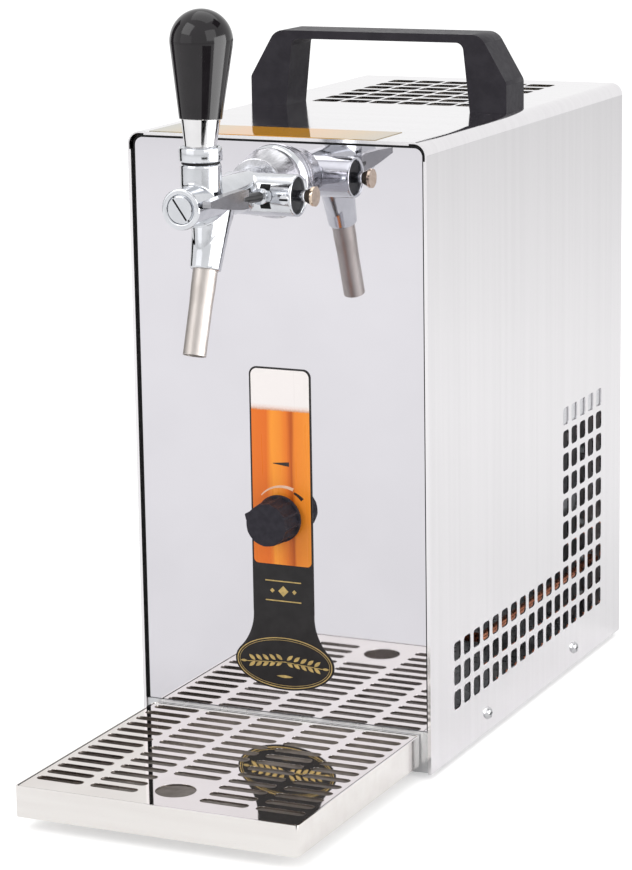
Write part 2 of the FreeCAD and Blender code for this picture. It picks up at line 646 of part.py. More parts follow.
def rear_panel():
    """Flat rear plate with the condenser's air slots and the holes for what is mounted on it."""
    half = "inner_half - fit_gap"
    plate = padded("rear_plate", "XZ",
                   [rounded(("-(%s)" % half, half), ("pan_z", "top_z - sheet_gauge - fit_gap"), "0",
                            "rear_corner")], "rear_gauge", ("0", "rear_plate_y - rear_gauge", "0"))
    first_x = "-(rear_slot_columns - 1) * rear_slot_pitch_x / 2"
    pierce(plate, "XZ",
           rounded((first_x + " - rear_slot_length / 2", first_x + " + rear_slot_length / 2"),
                   ("edge_z + rear_slot_first_z", "edge_z + rear_slot_first_z + rear_slot_height"),
                   "vent_corner", "vent_corner"),
           ("rear_slot_pitch_x", "rear_slot_pitch_z"), ("rear_slot_columns", "rear_slot_rows"))
    start, through = "rear_plate_y - 2 * rear_gauge", "3 * rear_gauge"
    holes = [rod("rear_screw_hole", "hole_radius", (x, start, z), "y", through)
             for x, z in rear_screw_places()]
    holes += [rod("fitting_hole", "fitting_shank + fit_gap", (x, start, z), "y", through)
              for x, z in (("air_x", "air_z"), ("beer_x", "beer_z"))]
    behind = (start, "rear_plate_y + rear_gauge")
    holes.append(box("inlet_hole", around("inlet_x", "inlet_half_x + fit_gap"), behind,
                     around("inlet_z", "inlet_half_z + fit_gap")))
    holes += [box("switch_hole", around(x, "switch_half_x + fit_gap"), behind,
                  around("switch_z", "switch_half_z + fit_gap"))
              for x in switch_places()]
    return node("rear_panel", cut("rear_cut", plate, *holes))


def around(middle, half):
    return "%s - (%s)" % (middle, half), "%s + (%s)" % (middle, half)


def switch_places():
    return ["switch_x", "switch_x + switch_spacing"]


# ---- front ---------------------------------------------------------------------------------

def front_panel():
    """Polished front: a shallow pan whose flanges run back into the casing."""
    outer = padded("panel_outer", "XZ",
                   [rounded(("-panel_half", "panel_half"), ("panel_low", "panel_high"), "0",
                            "panel_corner")], "panel_flange", ("0", "panel_y", "0"))
    inner = padded("panel_inner", "XZ",
                   [rounded(("-panel_half + sheet_gauge", "panel_half - sheet_gauge"),
                            ("panel_low + sheet_gauge", "panel_high - sheet_gauge"), "0",
                            "panel_corner - sheet_gauge")],
                   "panel_flange", ("0", "panel_y + sheet_gauge", "0"))
    shank = rod("panel_shank_hole", "tap_shank_radius + fit_gap", ("0", "panel_y - overrun", "tap_z"), "y",
                "4 * sheet_gauge")
    bushing = rod("panel_bushing_hole", "bushing_hole", ("0", "panel_y - overrun", "knob_height"), "y",
                  "4 * sheet_gauge")
    return node("front_panel", cut("panel_sheet", outer, inner, shank, bushing))


def panel_gasket():
    """Black rubber frame that fills the gap between the casing's hem and the front panel."""
    outer_half = "inner_half - hem_gauge - fit_gap / 2"
    outer = padded("gasket_outer", "XZ",
                   [rounded(("-(%s)" % outer_half, outer_half),
                            ("panel_low", "top_z - sheet_gauge - hem_gauge - fit_gap / 2"), "0",
                            "gasket_corner")], "gasket_depth", ("0", "panel_y + gasket_inset", "0"))
    inner_side = "panel_half + fit_gap / 2"
    inner = padded("gasket_inner", "XZ",
                   [rounded(("-(%s)" % inner_side, inner_side),
                            ("panel_low - panel_corner", "panel_high + fit_gap / 2"), "0",
                            "panel_corner + fit_gap / 2")], "2 * gasket_depth", ("0", "front_y", "0"))
    return node("panel_gasket", cut("gasket_frame", outer, inner))


def front_label():
    """Thin overlay on the panel: an upright strip that flares into an oval foot."""
    half, low = "label_width / 2", "edge_z + label_low"
    strip = padded("label_strip", "XZ",
                   [rounded(("-" + half, half), (low, "edge_z + label_top"), "0", "label_corner")],
                   "label_gauge")
    flare = padded("label_flare", "XZ",
                   [[(half, low, "flare_radius", 1), ("-" + half, low),
                     ("-flare_half", "edge_z + flare_z", "flare_radius", 1),
                     ("flare_half", "edge_z + flare_z")]], "label_gauge")
    ring = new_object("Part::Ellipse", "label_ring")
    ring.setExpression("MajorRadius", bound("oval_width / 2"))
    ring.setExpression("MinorRadius", bound("oval_height / 2"))
    place(ring, ("0", "0", "edge_z + oval_z"), TURNS["y"])
    oval = new_object("Part::Extrusion", "label_oval")
    oval.Base = ring
    oval.DirMode = "Custom"
    oval.Dir = Vector(0, 1, 0)
    oval.Solid = True
    oval.setExpression("LengthFwd", bound("label_gauge"))
    hole = rod("label_hole", "bushing_hole", ("0", "-label_gauge", "knob_height"), "y",
               "3 * label_gauge")
    overlay = cut("label_overlay", fuse("label_sheet", strip, flare, oval), hole)
    return node("front_label", place(overlay, ("0", "panel_y - label_gauge", "0")))


def top_label():
    """Tinted strip along the front edge of the casing's top."""
    return node("top_label", box("top_strip",
                                 ("strip_shift - strip_width / 2", "strip_shift + strip_width / 2"),
                                 ("front_y + strip_inset", "front_y + strip_inset + strip_depth"),
                                 ("top_z", "top_z + strip_gauge")))


def carry_handle():
    """Bridge handle: two broad legs, sloping shoulders and a thin straight bar."""
    half = "handle_length / 2"
    gap = "(handle_length / 2 - handle_leg)"
    outline = [("-" + half, "0"), ("-" + gap, "0"),
               ("-%s + handle_lean" % gap, "handle_rise - handle_bar"),
               (gap + " - handle_lean", "handle_rise - handle_bar"), (gap, "0"), (half, "0"),
               (half, "handle_shoulder"), (half + " - handle_slant", "handle_rise"),
               ("-(%s - handle_slant)" % half, "handle_rise"), ("-" + half, "handle_shoulder")]
    bridge = padded("handle_bridge", "XZ", [outline], "handle_depth",
                    ("0", "front_y + handle_y - handle_depth / 2", "top_z"))
    middle = value("handle_rise - handle_bar / 2")

    def runs_across(edge):
        return abs(edge.Vertexes[0].Y - edge.Vertexes[-1].Y) > value("handle_depth") / 2

    def outer_corner(edge):
        return runs_across(edge) and edge.Vertexes[0].Z > middle

    def inner_corner(edge):
        return runs_across(edge) and value("handle_shoulder") < edge.Vertexes[0].Z < middle

    round_edges(bridge, "handle_outer_round", outer_corner)
    round_edges(bridge, "handle_inner_round", inner_corner)
    bores = [rod("handle_bore", "shank_radius + thread_gap", (x, "front_y + handle_y", "top_z - overrun"),
                 "z", "handle_bore_depth")
             for x in leg_centres()]
    return node("carry_handle", cut("handle_drilled", bridge, *bores))


# ---- base ----------------------------------------------------------------------------------

def foot_places():
    return [("%s * (half_width - foot_inset)" % side, y)
            for side in SIDES for y in ("front_y + foot_inset", "rear_y - foot_inset")]


def base_pan():
    """Folded steel floor with side and rear rims and a taller front wall below the panel."""
    sheet_top = "pan_z + pan_gauge"
    floor = box("pan_floor", ("-pan_half", "pan_half"), ("pan_front_y", "pan_rear_y"),
                ("pan_z", sheet_top))
    rims = [box("pan_rim_side", inward(side, "pan_half", "pan_gauge"), ("pan_front_y", "pan_rear_y"),
                ("pan_z", "pan_z + pan_rim"))
            for side in SIDES]
    rims.append(box("pan_rim_rear", ("-pan_half", "pan_half"),
                    ("pan_rear_y - pan_gauge", "pan_rear_y"), ("pan_z", "pan_z + pan_rim")))
    rims.append(box("pan_wall_front", ("-pan_half", "pan_half"),
                    ("pan_front_y", "pan_front_y + pan_gauge"), ("pan_z", "pan_z + pan_front_rim")))
    notches = [box("pan_hem_notch", inward(side, "half_width", "sheet_gauge + hem_gauge + fit_gap"),
                   ("front_y", "front_y + hem_depth + seat_gap"),
                   ("0", "pan_z + pan_front_rim + overrun"))
               for side in SIDES]
    holes = [rod("pan_side_hole", "hole_radius", ("-half_width", y, "edge_z + side_screw_z"), "x",
                 "casing_width")
             for y in side_screw_places()]
    holes += [rod("pan_rear_hole", "hole_radius", (x, "pan_rear_y - 2 * pan_gauge", z), "y",
                  "3 * pan_gauge")
              for x, z in rear_screw_places()[:2]]
    holes += [rod("pan_foot_hole", "foot_stem + thread_gap", (x, y, "0"), "z", "2 * pan_z")
              for x, y in foot_places()]
    return node("base_pan", cut("pan_pierced", fuse("pan_folded", floor, *rims),
                                *(notches + holes)))


def rubber_feet():
    sheet_top = "pan_z + pan_gauge"
    outline = [("0", "0"), ("foot_radius - foot_bevel", "0"), ("foot_radius", "foot_bevel"),
               ("foot_radius", "pan_z"), ("foot_stem", "pan_z"), ("foot_stem", sheet_top),
               ("foot_stem_head", sheet_top), ("foot_stem_head", sheet_top + " + foot_bevel"),
               ("0", sheet_top + " + foot_bevel")]
    return node("rubber_feet", group("foot_set", [
        turned("rubber_foot", outline, (x, y, "0")) for x, y in foot_places()]))


# ---- tap -----------------------------------------------------------------------------------

def ahead(distance):
    """Y of a plane that lies a distance in front of the casing's front edge."""
    return "front_y - (%s)" % distance


def tap_shank():
    """Threaded tube through the panel that carries the tap."""
    at, length = ("0", ahead("tap_shank_front"), "tap_z"), "tap_shank_front + tap_shank_rear"
    return node("tap_shank", cut("shank_tube", rod("shank_outside", "tap_shank_radius", at, "y", length),
                                 rod("shank_bore", "tap_shank_bore", at, "y", length)))


def tap_flange():
    """Domed collar between the panel and the coupling nut."""
    hole = "tap_shank_radius + thread_gap"
    return node("tap_flange", turned("flange_ring", [
        (hole, "0"), ("flange_radius", "0"), ("flange_radius", "flange_rim"),
        ("flange_nose", "flange_rise", "flange_dome", 1), (hole, "flange_rise")],
        ("0", "panel_y", "tap_z"), "-y"))


def shank_washer():
    at = ("0", "panel_y + sheet_gauge", "tap_z")
    hole = "tap_shank_radius + thread_gap"
    return node("shank_washer", turned("washer_ring", [
        (hole, "0"), ("washer_radius", "0"), ("washer_radius", "washer_gauge"),
        (hole, "washer_gauge")], at, "y"))


def shank_nut():
    """Hexagonal nut that clamps the shank from inside the panel."""
    at = ("0", "panel_y + sheet_gauge + washer_gauge", "tap_z")
    return node("shank_nut", cut("shank_nut_ring",
                                 hexagon("shank_nut_hex", "shank_nut_across", at, "y", "shank_nut_depth"),
                                 rod("shank_nut_hole", "tap_shank_radius + thread_gap", at, "y",
                                     "shank_nut_depth")))


def coupling_nut():
    """Domed ring nut: its thread grips the shank and its lip pulls the tap's collar back."""
    thread = "tap_shank_radius + thread_gap"
    pocket = "spigot_collar + fit_gap"
    front = "nut_length"
    back_of_pocket = "tap_shank_front - nut_front + thread_gap"
    return node("coupling_nut", turned("coupling_ring", [
        (thread, "0"), ("nut_radius", "0"), ("nut_radius", "nut_skirt"),
        ("nut_nose", front, "nut_dome", 1), ("nut_lip_bore", front),
        ("nut_lip_bore", front + " - nut_lip"), (pocket, front + " - nut_lip"),
        (pocket, back_of_pocket), (thread, back_of_pocket)], ("0", ahead("nut_front"), "tap_z"), "-y"))


SPOUT = Rotation(Vector(1, 0, 0), 180 - SIZES["Spout"]["spout_lean"])
LEAN = Rotation(Vector(1, 0, 0), -SIZES["Tap lever"]["lever_lean"])
COMPENSATOR = Rotation(Vector(1, 0, 0), 90 - SIZES["Compensator"]["lever_rise"])


def along_tap(name, radius, front, rear):
    """Round bar on the tap's own axis between two distances in front of the casing."""
    return rod(name, radius, ("0", ahead(front), "tap_z"), "y", "(%s) - (%s)" % (front, rear))


def spout_point(distance):
    """Point on the spout's axis at a distance below the barrel's axis."""
    return ("0", "spout_y - (%s) * sin(spout_lean)" % distance,
            "tap_z - (%s) * cos(spout_lean)" % distance)


def tap_body():
    """Cast and plated body: barrel, lever neck, compensator housing, spigot and spout hood."""
    barrel = along_tap("tap_barrel", "barrel_radius", "barrel_reach", "barrel_start")
    spigot = along_tap("tap_spigot", "spigot_radius", "barrel_start + overrun", "spigot_rear")
    collar = along_tap("tap_collar", "spigot_collar", "spigot_collar_front",
                       "spigot_rear + thread_gap")
    housing = rod("tap_housing", "housing_radius", ("-housing_left", "spindle_y", "spindle_z"), "x",
                  "housing_left + housing_right")
    neck = rod("tap_neck", "neck_radius", ("0", "neck_y", "tap_z"), "z", "neck_top")
    thread = rod("tap_neck_thread", "neck_thread", ("0", "neck_y", "tap_z"), "z", "neck_thread_top")
    hood = cone("tap_hood", "hood_top", "hood_end", spout_point("hood_start"), "z",
                "hood_length - hood_start")
    hood.Placement.Rotation = SPOUT
    flare = cone("tap_flare", "hood_flare", "hood_top", spout_point("hood_flare_start"), "z",
                 "hood_flare_length")
    flare.Placement.Rotation = SPOUT
    slab = box("tap_flare_slab", ("-barrel_radius + seat_gap", "barrel_radius - seat_gap"),
               (ahead("barrel_reach - seat_gap"), ahead("barrel_start")),
               ("tap_z - hood_length", "tap_z"))
    casting = fuse("tap_casting", barrel, spigot, collar, housing, neck, thread, hood,
                   common("tap_fillet", flare, slab))
    bores = [along_tap("tap_plug_bore", "plug_radius + thread_gap", "barrel_reach",
                       "barrel_bore_start"),
             along_tap("tap_bore", "barrel_bore", "barrel_bore_start", "seat_front"),
             along_tap("tap_seat", "seat_bore", "seat_front", "seat_rear"),
             along_tap("tap_chamber", "chamber_bore", "seat_rear", "chamber_rear"),
             along_tap("tap_inlet", "tap_shank_bore", "chamber_rear", "spigot_rear"),
             rod("tap_neck_bore", "neck_bore", ("0", "neck_y", "tap_z + neck_bore_low"), "z",
                 "neck_thread_top"),
             rod("tap_spindle_bore", "spindle_bore", ("-spindle_left - seat_gap", "spindle_y", "spindle_z"),
                 "x", "spindle_left + housing_right"),
             rod("tap_recess", "recess_radius", ("recess_left", "spindle_y", "spindle_z"), "x",
                 "housing_right"),
             box("tap_lever_slot", around("lever_x", "slot_half_width"),
                 ("spindle_y - 2 * housing_radius", "spindle_y"),
                 ("spindle_z - slot_half_height", "spindle_z + slot_half_height"))]
    for name, radius, start in (("tap_spout_bore", "spout_bore", "0"),
                                ("tap_nozzle_seat", "nozzle_top + thread_gap",
                                 "hood_length - nozzle_entry")):
        bore = rod(name, radius, spout_point(start), "z", "hood_length")
        bore.Placement.Rotation = SPOUT
        bores.append(bore)
    return node("tap_body", cut("tap_bored", casting, *bores))


def spout_nozzle():
    """Thin straight tube pressed into the hood; its lower end is a true cylinder."""
    end = "spout_length - (hood_length - nozzle_entry)"
    outline = [("nozzle_top - nozzle_wall", "0"), ("nozzle_top", "0"),
               ("nozzle_top", "nozzle_entry + nozzle_taper_start"),
               ("nozzle_tip", "nozzle_entry + nozzle_taper_end"), ("nozzle_tip", end),
               ("nozzle_tip - nozzle_wall", end),
               ("nozzle_tip - nozzle_wall", "nozzle_entry + nozzle_taper_end"),
               ("nozzle_top - nozzle_wall", "nozzle_entry + nozzle_taper_start")]
    return node("spout_nozzle", turned("nozzle_tube", outline,
                                       spout_point("hood_length - nozzle_entry"), turn=SPOUT))


def plug_screw():
    """Slotted screw plug that closes the front of the barrel."""
    plug = along_tap("plug_barrel", "plug_radius", "barrel_reach + plug_proud",
                     "barrel_reach + plug_proud - plug_length")
    slot = box("plug_slot", ("-plug_radius - overrun", "plug_radius + overrun"),
               ("-overrun", "plug_slot_depth"), ("-plug_slot / 2", "plug_slot / 2"))
    sawn = group("plug_saw", [slot])
    place(sawn, ("0", ahead("barrel_reach + plug_proud"), "tap_z"),
          Rotation(Vector(0, 1, 0), SIZES["Tap"]["plug_turn"]))
    return node("plug_screw", cut("plug_slotted", plug, sawn))


def collar_seal():
    return node("collar_seal", turned("seal_ring", [
        ("neck_thread + thread_gap", "neck_top"), ("collar_seal_radius", "neck_top"),
        ("collar_seal_radius", "collar_low"), ("neck_thread + thread_gap", "collar_low")],
        ("0", "neck_y", "tap_z")))


def collar_nut():
    """Ring nut on the neck; the lever's round ferrule rocks in its cup."""
    top = "collar_high - collar_low"
    thread = "neck_thread + thread_gap"
    return node("collar_nut", turned("collar_ring", [
        (thread, "0"), ("collar_radius", "0"), ("collar_radius", top), ("collar_mouth", top),
        ("collar_throat", top + " - collar_cup"), ("collar_lip", "collar_lip_z"),
        (thread, "collar_lip_z")], ("0", "neck_y", "tap_z + collar_low")))


PIVOT = ("0", "neck_y", "pivot_z")


def tap_lever():
    """Steel rod through the pivot with a ball below it that moves the valve."""
    stem = rod("lever_stem", "lever_rod", ("0", "0", "-lever_arm"), "z", "lever_arm + rod_reach")
    tip = ball("lever_tip", "lever_ball", ("0", "0", "-lever_arm"))
    return node("tap_lever", place(fuse("lever_rod_and_ball", stem, tip), PIVOT, LEAN))


def handle_ferrule():
    """Metal ferrule under the grip; its lower end is part of a ball about the pivot."""
    bore = "lever_rod + rod_gap"
    return node("handle_ferrule", turned("ferrule", [
        (bore, "-ferrule_flat"), ("sqrt(ferrule_low ^ 2 - ferrule_flat ^ 2)", "-ferrule_flat"),
        ("ferrule_low", "0", "ferrule_low", -1), ("ferrule_high", "ferrule_length"),
        (bore, "ferrule_length")], PIVOT, turn=LEAN))


def handle_grip():
    """Black turned grip that swells to a domed top."""
    bore = "lever_rod + rod_gap"
    return node("handle_grip", turned("grip", [
        (bore, "grip_start"), ("grip_low", "grip_start"),
        ("grip_wide * cos(grip_turn)", "grip_centre - grip_wide * sin(grip_turn)"),
        ("0", "grip_centre + grip_wide", "grip_wide", -1), ("0", "rod_reach + rod_room"),
        (bore, "rod_reach + rod_room")], PIVOT, turn=LEAN))


def valve_piston():
    """Sliding valve: a piston with a slotted lug for the lever's ball, and a stem to the seat."""
    piston = along_tap("piston", "barrel_bore - piston_gap", "piston_front", "piston_rear")
    stem = along_tap("piston_stem", "stem_radius", "piston_rear + overrun", "stem_end")
    y = around("slot_y", "lug_half")
    lug = box("piston_lug", ("-lug_side", "lug_side"), y, ("tap_z + lug_low", "tap_z + lug_high"))
    slot = box("piston_slot", ("-2 * lug_side", "2 * lug_side"), around("slot_y", "lug_slot"),
               ("tap_z + lug_slot_low", "tap_z + 2 * lug_high"))
    drain = rod("piston_window", "neck_bore", ("0", "neck_y", "tap_z + barrel_bore - overrun"), "z",
                "neck_bore")
    body = cut("piston_relieved", piston, drain)
    return node("valve_piston", cut("piston_with_slot", fuse("piston_solid", body, stem, lug), slot))


def valve_seal():
    """Rubber washer on the stem that closes on the seat from behind."""
    hole = "stem_radius + rod_gap"
    return node("valve_seal", turned("seal_disc", [
        (hole, "0"), ("valve_seal_radius", "0"), ("valve_seal_radius", "seat_rear - valve_seal_rear"),
        (hole, "seat_rear - valve_seal_rear")], ("0", ahead("seat_rear"), "tap_z"), "y"))


# ---- compensator ---------------------------------------------------------------------------

def on_spindle(name, radius, left, right, lift="0"):
    return rod(name, radius, (left, "spindle_y", "spindle_z + " + lift), "x",
               "(%s) - (%s)" % (right, left))


def compensator_spindle():
    """Crank across the tap: two journals, an offset pin, and a flared button on the right."""
    parts = [on_spindle("spindle_left", "spindle_radius", "-spindle_left", "-crank_half"),
             on_spindle("spindle_pin", "crank_radius", "-crank_half - overrun", "crank_half + overrun",
                        "crank_offset"),
             on_spindle("spindle_right", "spindle_radius", "crank_half", "recess_left"),
             on_spindle("spindle_neck", "spindle_neck", "recess_left - overrun", "button_start + overrun"),
             cone("spindle_button", "spindle_neck", "button_radius",
                  ("button_start", "spindle_y", "spindle_z"), "x", "button_taper"),
             on_spindle("spindle_rim", "button_radius", "button_start + button_taper", "button_end")]
    socket = rod("spindle_socket", "comp_stem + rod_gap",
                 ("lever_x", "spindle_y - comp_stem_start * cos(lever_rise)",
                  "spindle_z + comp_stem_start * sin(lever_rise)"), "z", "spindle_radius * 2")
    socket.Placement.Rotation = COMPENSATOR
    return node("compensator_spindle", cut("spindle_drilled", fuse("spindle_solid", *parts), socket))


def compensator_lever():
    """Flat tapered paddle on a bright hub whose stem is screwed into the spindle."""
    at = ("lever_x", "spindle_y", "spindle_z")
    stem = turned("compensator_stem", [
        ("0", "comp_stem_start + seat_gap"), ("comp_stem", "comp_stem_start + seat_gap"),
        ("comp_stem", "comp_hub_start"), ("comp_hub", "comp_hub_start"), ("comp_hub", "comp_hub_end"),
        ("comp_neck", "comp_hub_end"), ("comp_neck", "paddle_wide"), ("0", "paddle_wide")],
        at, turn=COMPENSATOR)
    paddle = padded("compensator_paddle", "YZ", [[
        ("-paddle_root", "paddle_start"), ("paddle_root", "paddle_start"),
        ("paddle_wide_half", "paddle_wide"), ("paddle_mid_half", "paddle_mid"),
        ("paddle_tip", "paddle_end"), ("-paddle_tip", "paddle_end"),
        ("-paddle_mid_half", "paddle_mid"), ("-paddle_wide_half", "paddle_wide")]],
        "paddle_gauge", at, "-paddle_gauge / 2", COMPENSATOR)
    return node("compensator_lever", fuse("compensator_arm", stem, paddle))


def compensator_bush():
    """Ring in the housing's open end that the spindle's neck turns in."""
    outer, inner = "recess_radius - rod_gap", "spindle_neck + rod_gap"
    return node("compensator_bush", turned("bush_ring", [
        (inner, "0"), (outer, "0"), (outer, "bush_thickness"), (inner, "bush_thickness")],
        ("recess_left", "spindle_y", "spindle_z"), "x"))


def compensator_cone():
    """Flow cone that the spindle's pin shifts along the tap."""
    plug = cone("cone_plug", "cone_small", "cone_large", ("0", ahead("cone_front"), "tap_z"), "y",
                "cone_front - cone_rear")
    stem = along_tap("cone_stem", "cone_stem", "cone_rear + overrun", "spindle_reach + yoke_side - overrun")
    yoke = box("cone_yoke", ("-yoke_half", "yoke_half"), around("spindle_y", "yoke_side"),
               ("spindle_z - yoke_low", "spindle_z + yoke_high"))
    slot = box("cone_slot", ("-2 * yoke_half", "2 * yoke_half"), around("spindle_y", "yoke_slot"),
               ("spindle_z + yoke_slot_low", "spindle_z + 2 * yoke_high"))
    return node("compensator_cone", cut("cone_slotted", fuse("cone_solid", plug, stem, yoke), slot))


# ---- thermostat ----------------------------------------------------------------------------

def thermostat_knob():
    """Fluted knob with a raised pointer."""
    solid = turned("knob_solid", [
        ("0", "0"), ("knob_radius", "0"), ("knob_radius", "knob_skirt"),
        ("knob_shoulder", "knob_skirt"), ("knob_face", "knob_rise"), ("0", "knob_rise")])
    socket = rod("knob_socket", "control_shaft + control_shaft_gap", ("0", "0", "0"), "z",
                 "knob_socket")
    pointer = padded("knob_pointer", "XY", [[("0", "-knob_nose_half"), ("knob_face", "-knob_nose_half"),
                                             ("knob_nose", "0"), ("knob_face", "knob_nose_half"),
                                             ("0", "knob_nose_half")]],
                     "knob_rise - knob_skirt + overrun", ("0", "0", "knob_skirt - overrun"))
    flutes = [rod("knob_flute", "flute_radius",
                  ("flute_reach * cos(knob_flute_first + %d * 360 / knob_flutes)" % i,
                   "flute_reach * sin(knob_flute_first + %d * 360 / knob_flutes)" % i,
                   "knob_skirt"), "z", "knob_rise")
              for i in range(1, count("knob_flutes"))]
    knob = cut("knob_fluted", fuse("knob_pointed", solid, pointer), socket, *flutes)
    spin = Rotation(Vector(0, 0, 1), SIZES["Thermostat"]["knob_turn"])
    return node("thermostat_knob", place(knob, ("0", ahead("knob_start"), "knob_height"),
                                         TURNS["-y"].multiply(spin)))


def thermostat_shaft():
    front = "knob_start + knob_socket"
    return node("thermostat_shaft", rod("shaft", "control_shaft",
                                        ("0", ahead(front), "knob_height"), "y",
                                        front + " + control_shaft_rear"))


def thermostat_body():
    """Thermostat housing behind the panel with a threaded bushing through it."""
    back = "panel_y + sheet_gauge"
    case = box("thermostat_case", ("-control_half", "control_half"), (back, back + " + control_depth"),
               ("knob_height - control_half", "knob_height + control_half"))
    bushing = rod("thermostat_bushing", "bushing_radius", ("0", ahead("bushing_front"), "knob_height"),
                  "y", "bushing_front + panel_recess + 2 * sheet_gauge")
    bore = rod("thermostat_bore", "control_shaft + control_shaft_gap",
               ("0", ahead("knob_rise"), "knob_height"), "y",
               "knob_rise + control_shaft_rear + seat_gap")
    return node("thermostat_body", cut("thermostat_bored", fuse("thermostat_solid", case, bushing),
                                       bore))


def thermostat_nut():
    at = ("0", "panel_y - label_gauge - nut_thickness", "knob_height")
    return node("thermostat_nut", cut("bushing_nut",
                                      hexagon("bushing_hex", "nut_across", at, "y", "nut_thickness"),
                                      rod("bushing_nut_hole", "bushing_radius + thread_gap", at, "y",
                                          "nut_thickness")))


# ---- drip tray -----------------------------------------------------------------------------

def upright_block(name, half, y, z, corner):
    return padded(name, "XY", [rounded(("-(%s)" % half, half), y, corner, corner)],
                  "(%s) - (%s)" % (z[1], z[0]), ("0", "0", z[0]))


def drip_tray():
    """Folded steel tray, open at the top."""
    outer = upright_block("tray_outer", "tray_half", ("tray_front_y", "tray_rear_y"),
                          ("tray_low_z", "tray_high_z"), "tray_corner")
    inner = upright_block("tray_inner", "tray_half - tray_gauge",
                          ("tray_front_y + tray_gauge", "tray_rear_y - tray_gauge"),
                          ("tray_low_z + tray_gauge", "tray_high_z + tray_gauge"),
                          "tray_corner - tray_gauge")
    return node("drip_tray", cut("tray_pan", outer, inner))


def drip_grille():
    """Slotted plate with folded skirts that stand on the tray's floor."""
    floor = "tray_low_z + tray_gauge"
    plate = upright_block("grille_plate", "grille_half", ("grille_front_y", "grille_rear_y"),
                          (floor, "grille_high_z"), "grille_corner")

    def slots(first_column, columns, first_row, rows):
        x = "(%s) * slot_pitch_x" % first_column
        y = "front_y - slot_first_y - (%s) * slot_pitch_y" % first_row
        pierce(plate, "XY", rounded(around(x, "slot_length / 2"), around(y, "slot_width / 2"),
                                    "slot_round", "slot_round"),
               ("slot_pitch_x", "slot_pitch_y"), (columns, rows))

    slots("-(slot_columns - 1) / 2", "slot_columns", "full_rows - 1", "full_rows")
    last = "full_rows + short_rows - 1"
    slots("-(slot_columns - 1) / 2", "side_columns", last, "short_rows")
    slots("(slot_columns - 1) / 2 - side_columns + 1", "side_columns", last, "short_rows")
    hollow = upright_block("grille_hollow", "grille_half - grille_gauge",
                           ("grille_front_y + grille_gauge", "grille_rear_y - grille_gauge"),
                           ("tray_low_z", "grille_high_z - grille_gauge"),
                           "grille_corner - grille_gauge / 2")
    finger = rod("grille_finger_hole", "finger_radius", ("0", ahead("finger_reach"), "tray_low_z"),
                 "z", "tray_top")
    return node("drip_grille", cut("grille_sheet", plate, hollow, finger))


def tray_pads():
    return node("tray_pads", group("pad_set", [
        rod("tray_pad", "pad_radius", ("%s * (tray_half - pad_inset_x)" % side, y, "0"), "z",
            "tray_low_z")
        for side in SIDES for y in ("tray_front_y + pad_front", "tray_rear_y - pad_rear")]))


# ---- cooling unit --------------------------------------------------------------------------

def run_of_pipe(name, radius, points):
    """Straight round runs along the axes with balls as elbows between them."""
    parts = []
    for start, end in zip(points, points[1:]):
        steps = [value("(%s) - (%s)" % (b, a)) for a, b in zip(start, end)]
        axis = max(range(3), key=lambda i: abs(steps[i]))
        sign = "" if steps[axis] > 0 else "-"
        low, high = (start, end) if sign == "" else (end, start)
        parts.append(rod(name + "_run", radius, start, sign + "xyz"[axis],
                         "(%s) - (%s)" % (high[axis], low[axis])))
    parts += [ball(name + "_elbow", radius, point) for point in points[1:-1]]
    return fuse(name, *parts) if len(parts) > 1 else parts[0]


def tube(name, radius, wall, points):
    return cut(name + "_tube", run_of_pipe(name + "_outside", radius, points),
               run_of_pipe(name + "_inside", "%s - %s" % (radius, wall), points))


def inner_shelf():
    """Sheet shelf across the casing that carries the cold block and the air pump."""
    low = "edge_z + shelf_z"
    y = ("front_y + shelf_front", "rear_plate_y - rear_gauge - shelf_back")
    half = "inner_half - fit_gap"
    plate = box("shelf_plate", ("-(%s)" % half, half), y, (low, "shelf_high_z"))
    skirts = [box("shelf_skirt", inward(side, "inner_half - fit_gap", "shelf_gauge"), y,
                  (low + " - shelf_skirt", "shelf_high_z"))
              for side in SIDES]
    holes = [rod("shelf_pipe_hole", "pipe_radius + pipe_room", ("pipe_x", y_hole, low + " - overrun"), "z",
                 "2 * shelf_gauge + overrun")
             for y_hole in ("liquid_y", "front_y + compressor_y")]
    return node("inner_shelf", cut("shelf_pierced", fuse("shelf_folded", plate, *skirts), *holes))


def block_space(name, top):
    """The room in the foam that the block fills, with a small gap all round."""
    return box(name, ("-block_half - block_gap", "block_half + block_gap"),
               ("block_front_y - block_gap", "block_rear_y + block_gap"),
               ("block_low_z - block_gap", top))


def block_insulation():
    """Foam box round the cold block with holes for its pipes."""
    foam = box("foam_box", ("-foam_half", "foam_half"), ("foam_front_y", "foam_rear_y"),
               ("shelf_high_z", "foam_high_z - foam_lid"))
    outlet = rod("foam_outlet_hole", "coil_radius + seat_gap", ("0", "foam_front_y - overrun", "outlet_z"),
                 "y", "foam_wall + 4 * overrun")
    inlet = rod("foam_inlet_hole", "coil_radius + seat_gap", ("beer_x", "block_rear_y",
                                                              "beer_z"), "y",
                "foam_rear_y - block_rear_y + overrun")
    cold = [rod("foam_cold_hole", "pipe_radius + seat_gap", ("-foam_half - overrun", y, z), "x",
                "foam_half - block_half + 2 * overrun")
            for y, z in (("liquid_y", "liquid_z"), ("front_y + compressor_y", "suction_z"))]
    return node("block_insulation", cut("foam_hollow", foam,
                                        block_space("foam_space", "foam_high_z"), outlet, inlet,
                                        *cold))


def insulation_lid():
    lid = box("lid_slab", ("-foam_half", "foam_half"), ("foam_front_y", "foam_rear_y"),
              ("foam_high_z - foam_lid", "foam_high_z"))
    plug = box("lid_plug", ("-block_half", "block_half"), ("block_front_y", "block_rear_y"),
               ("block_high_z + block_gap", "foam_high_z - foam_lid + overrun"))
    return node("insulation_lid", fuse("lid_with_plug", lid, plug))


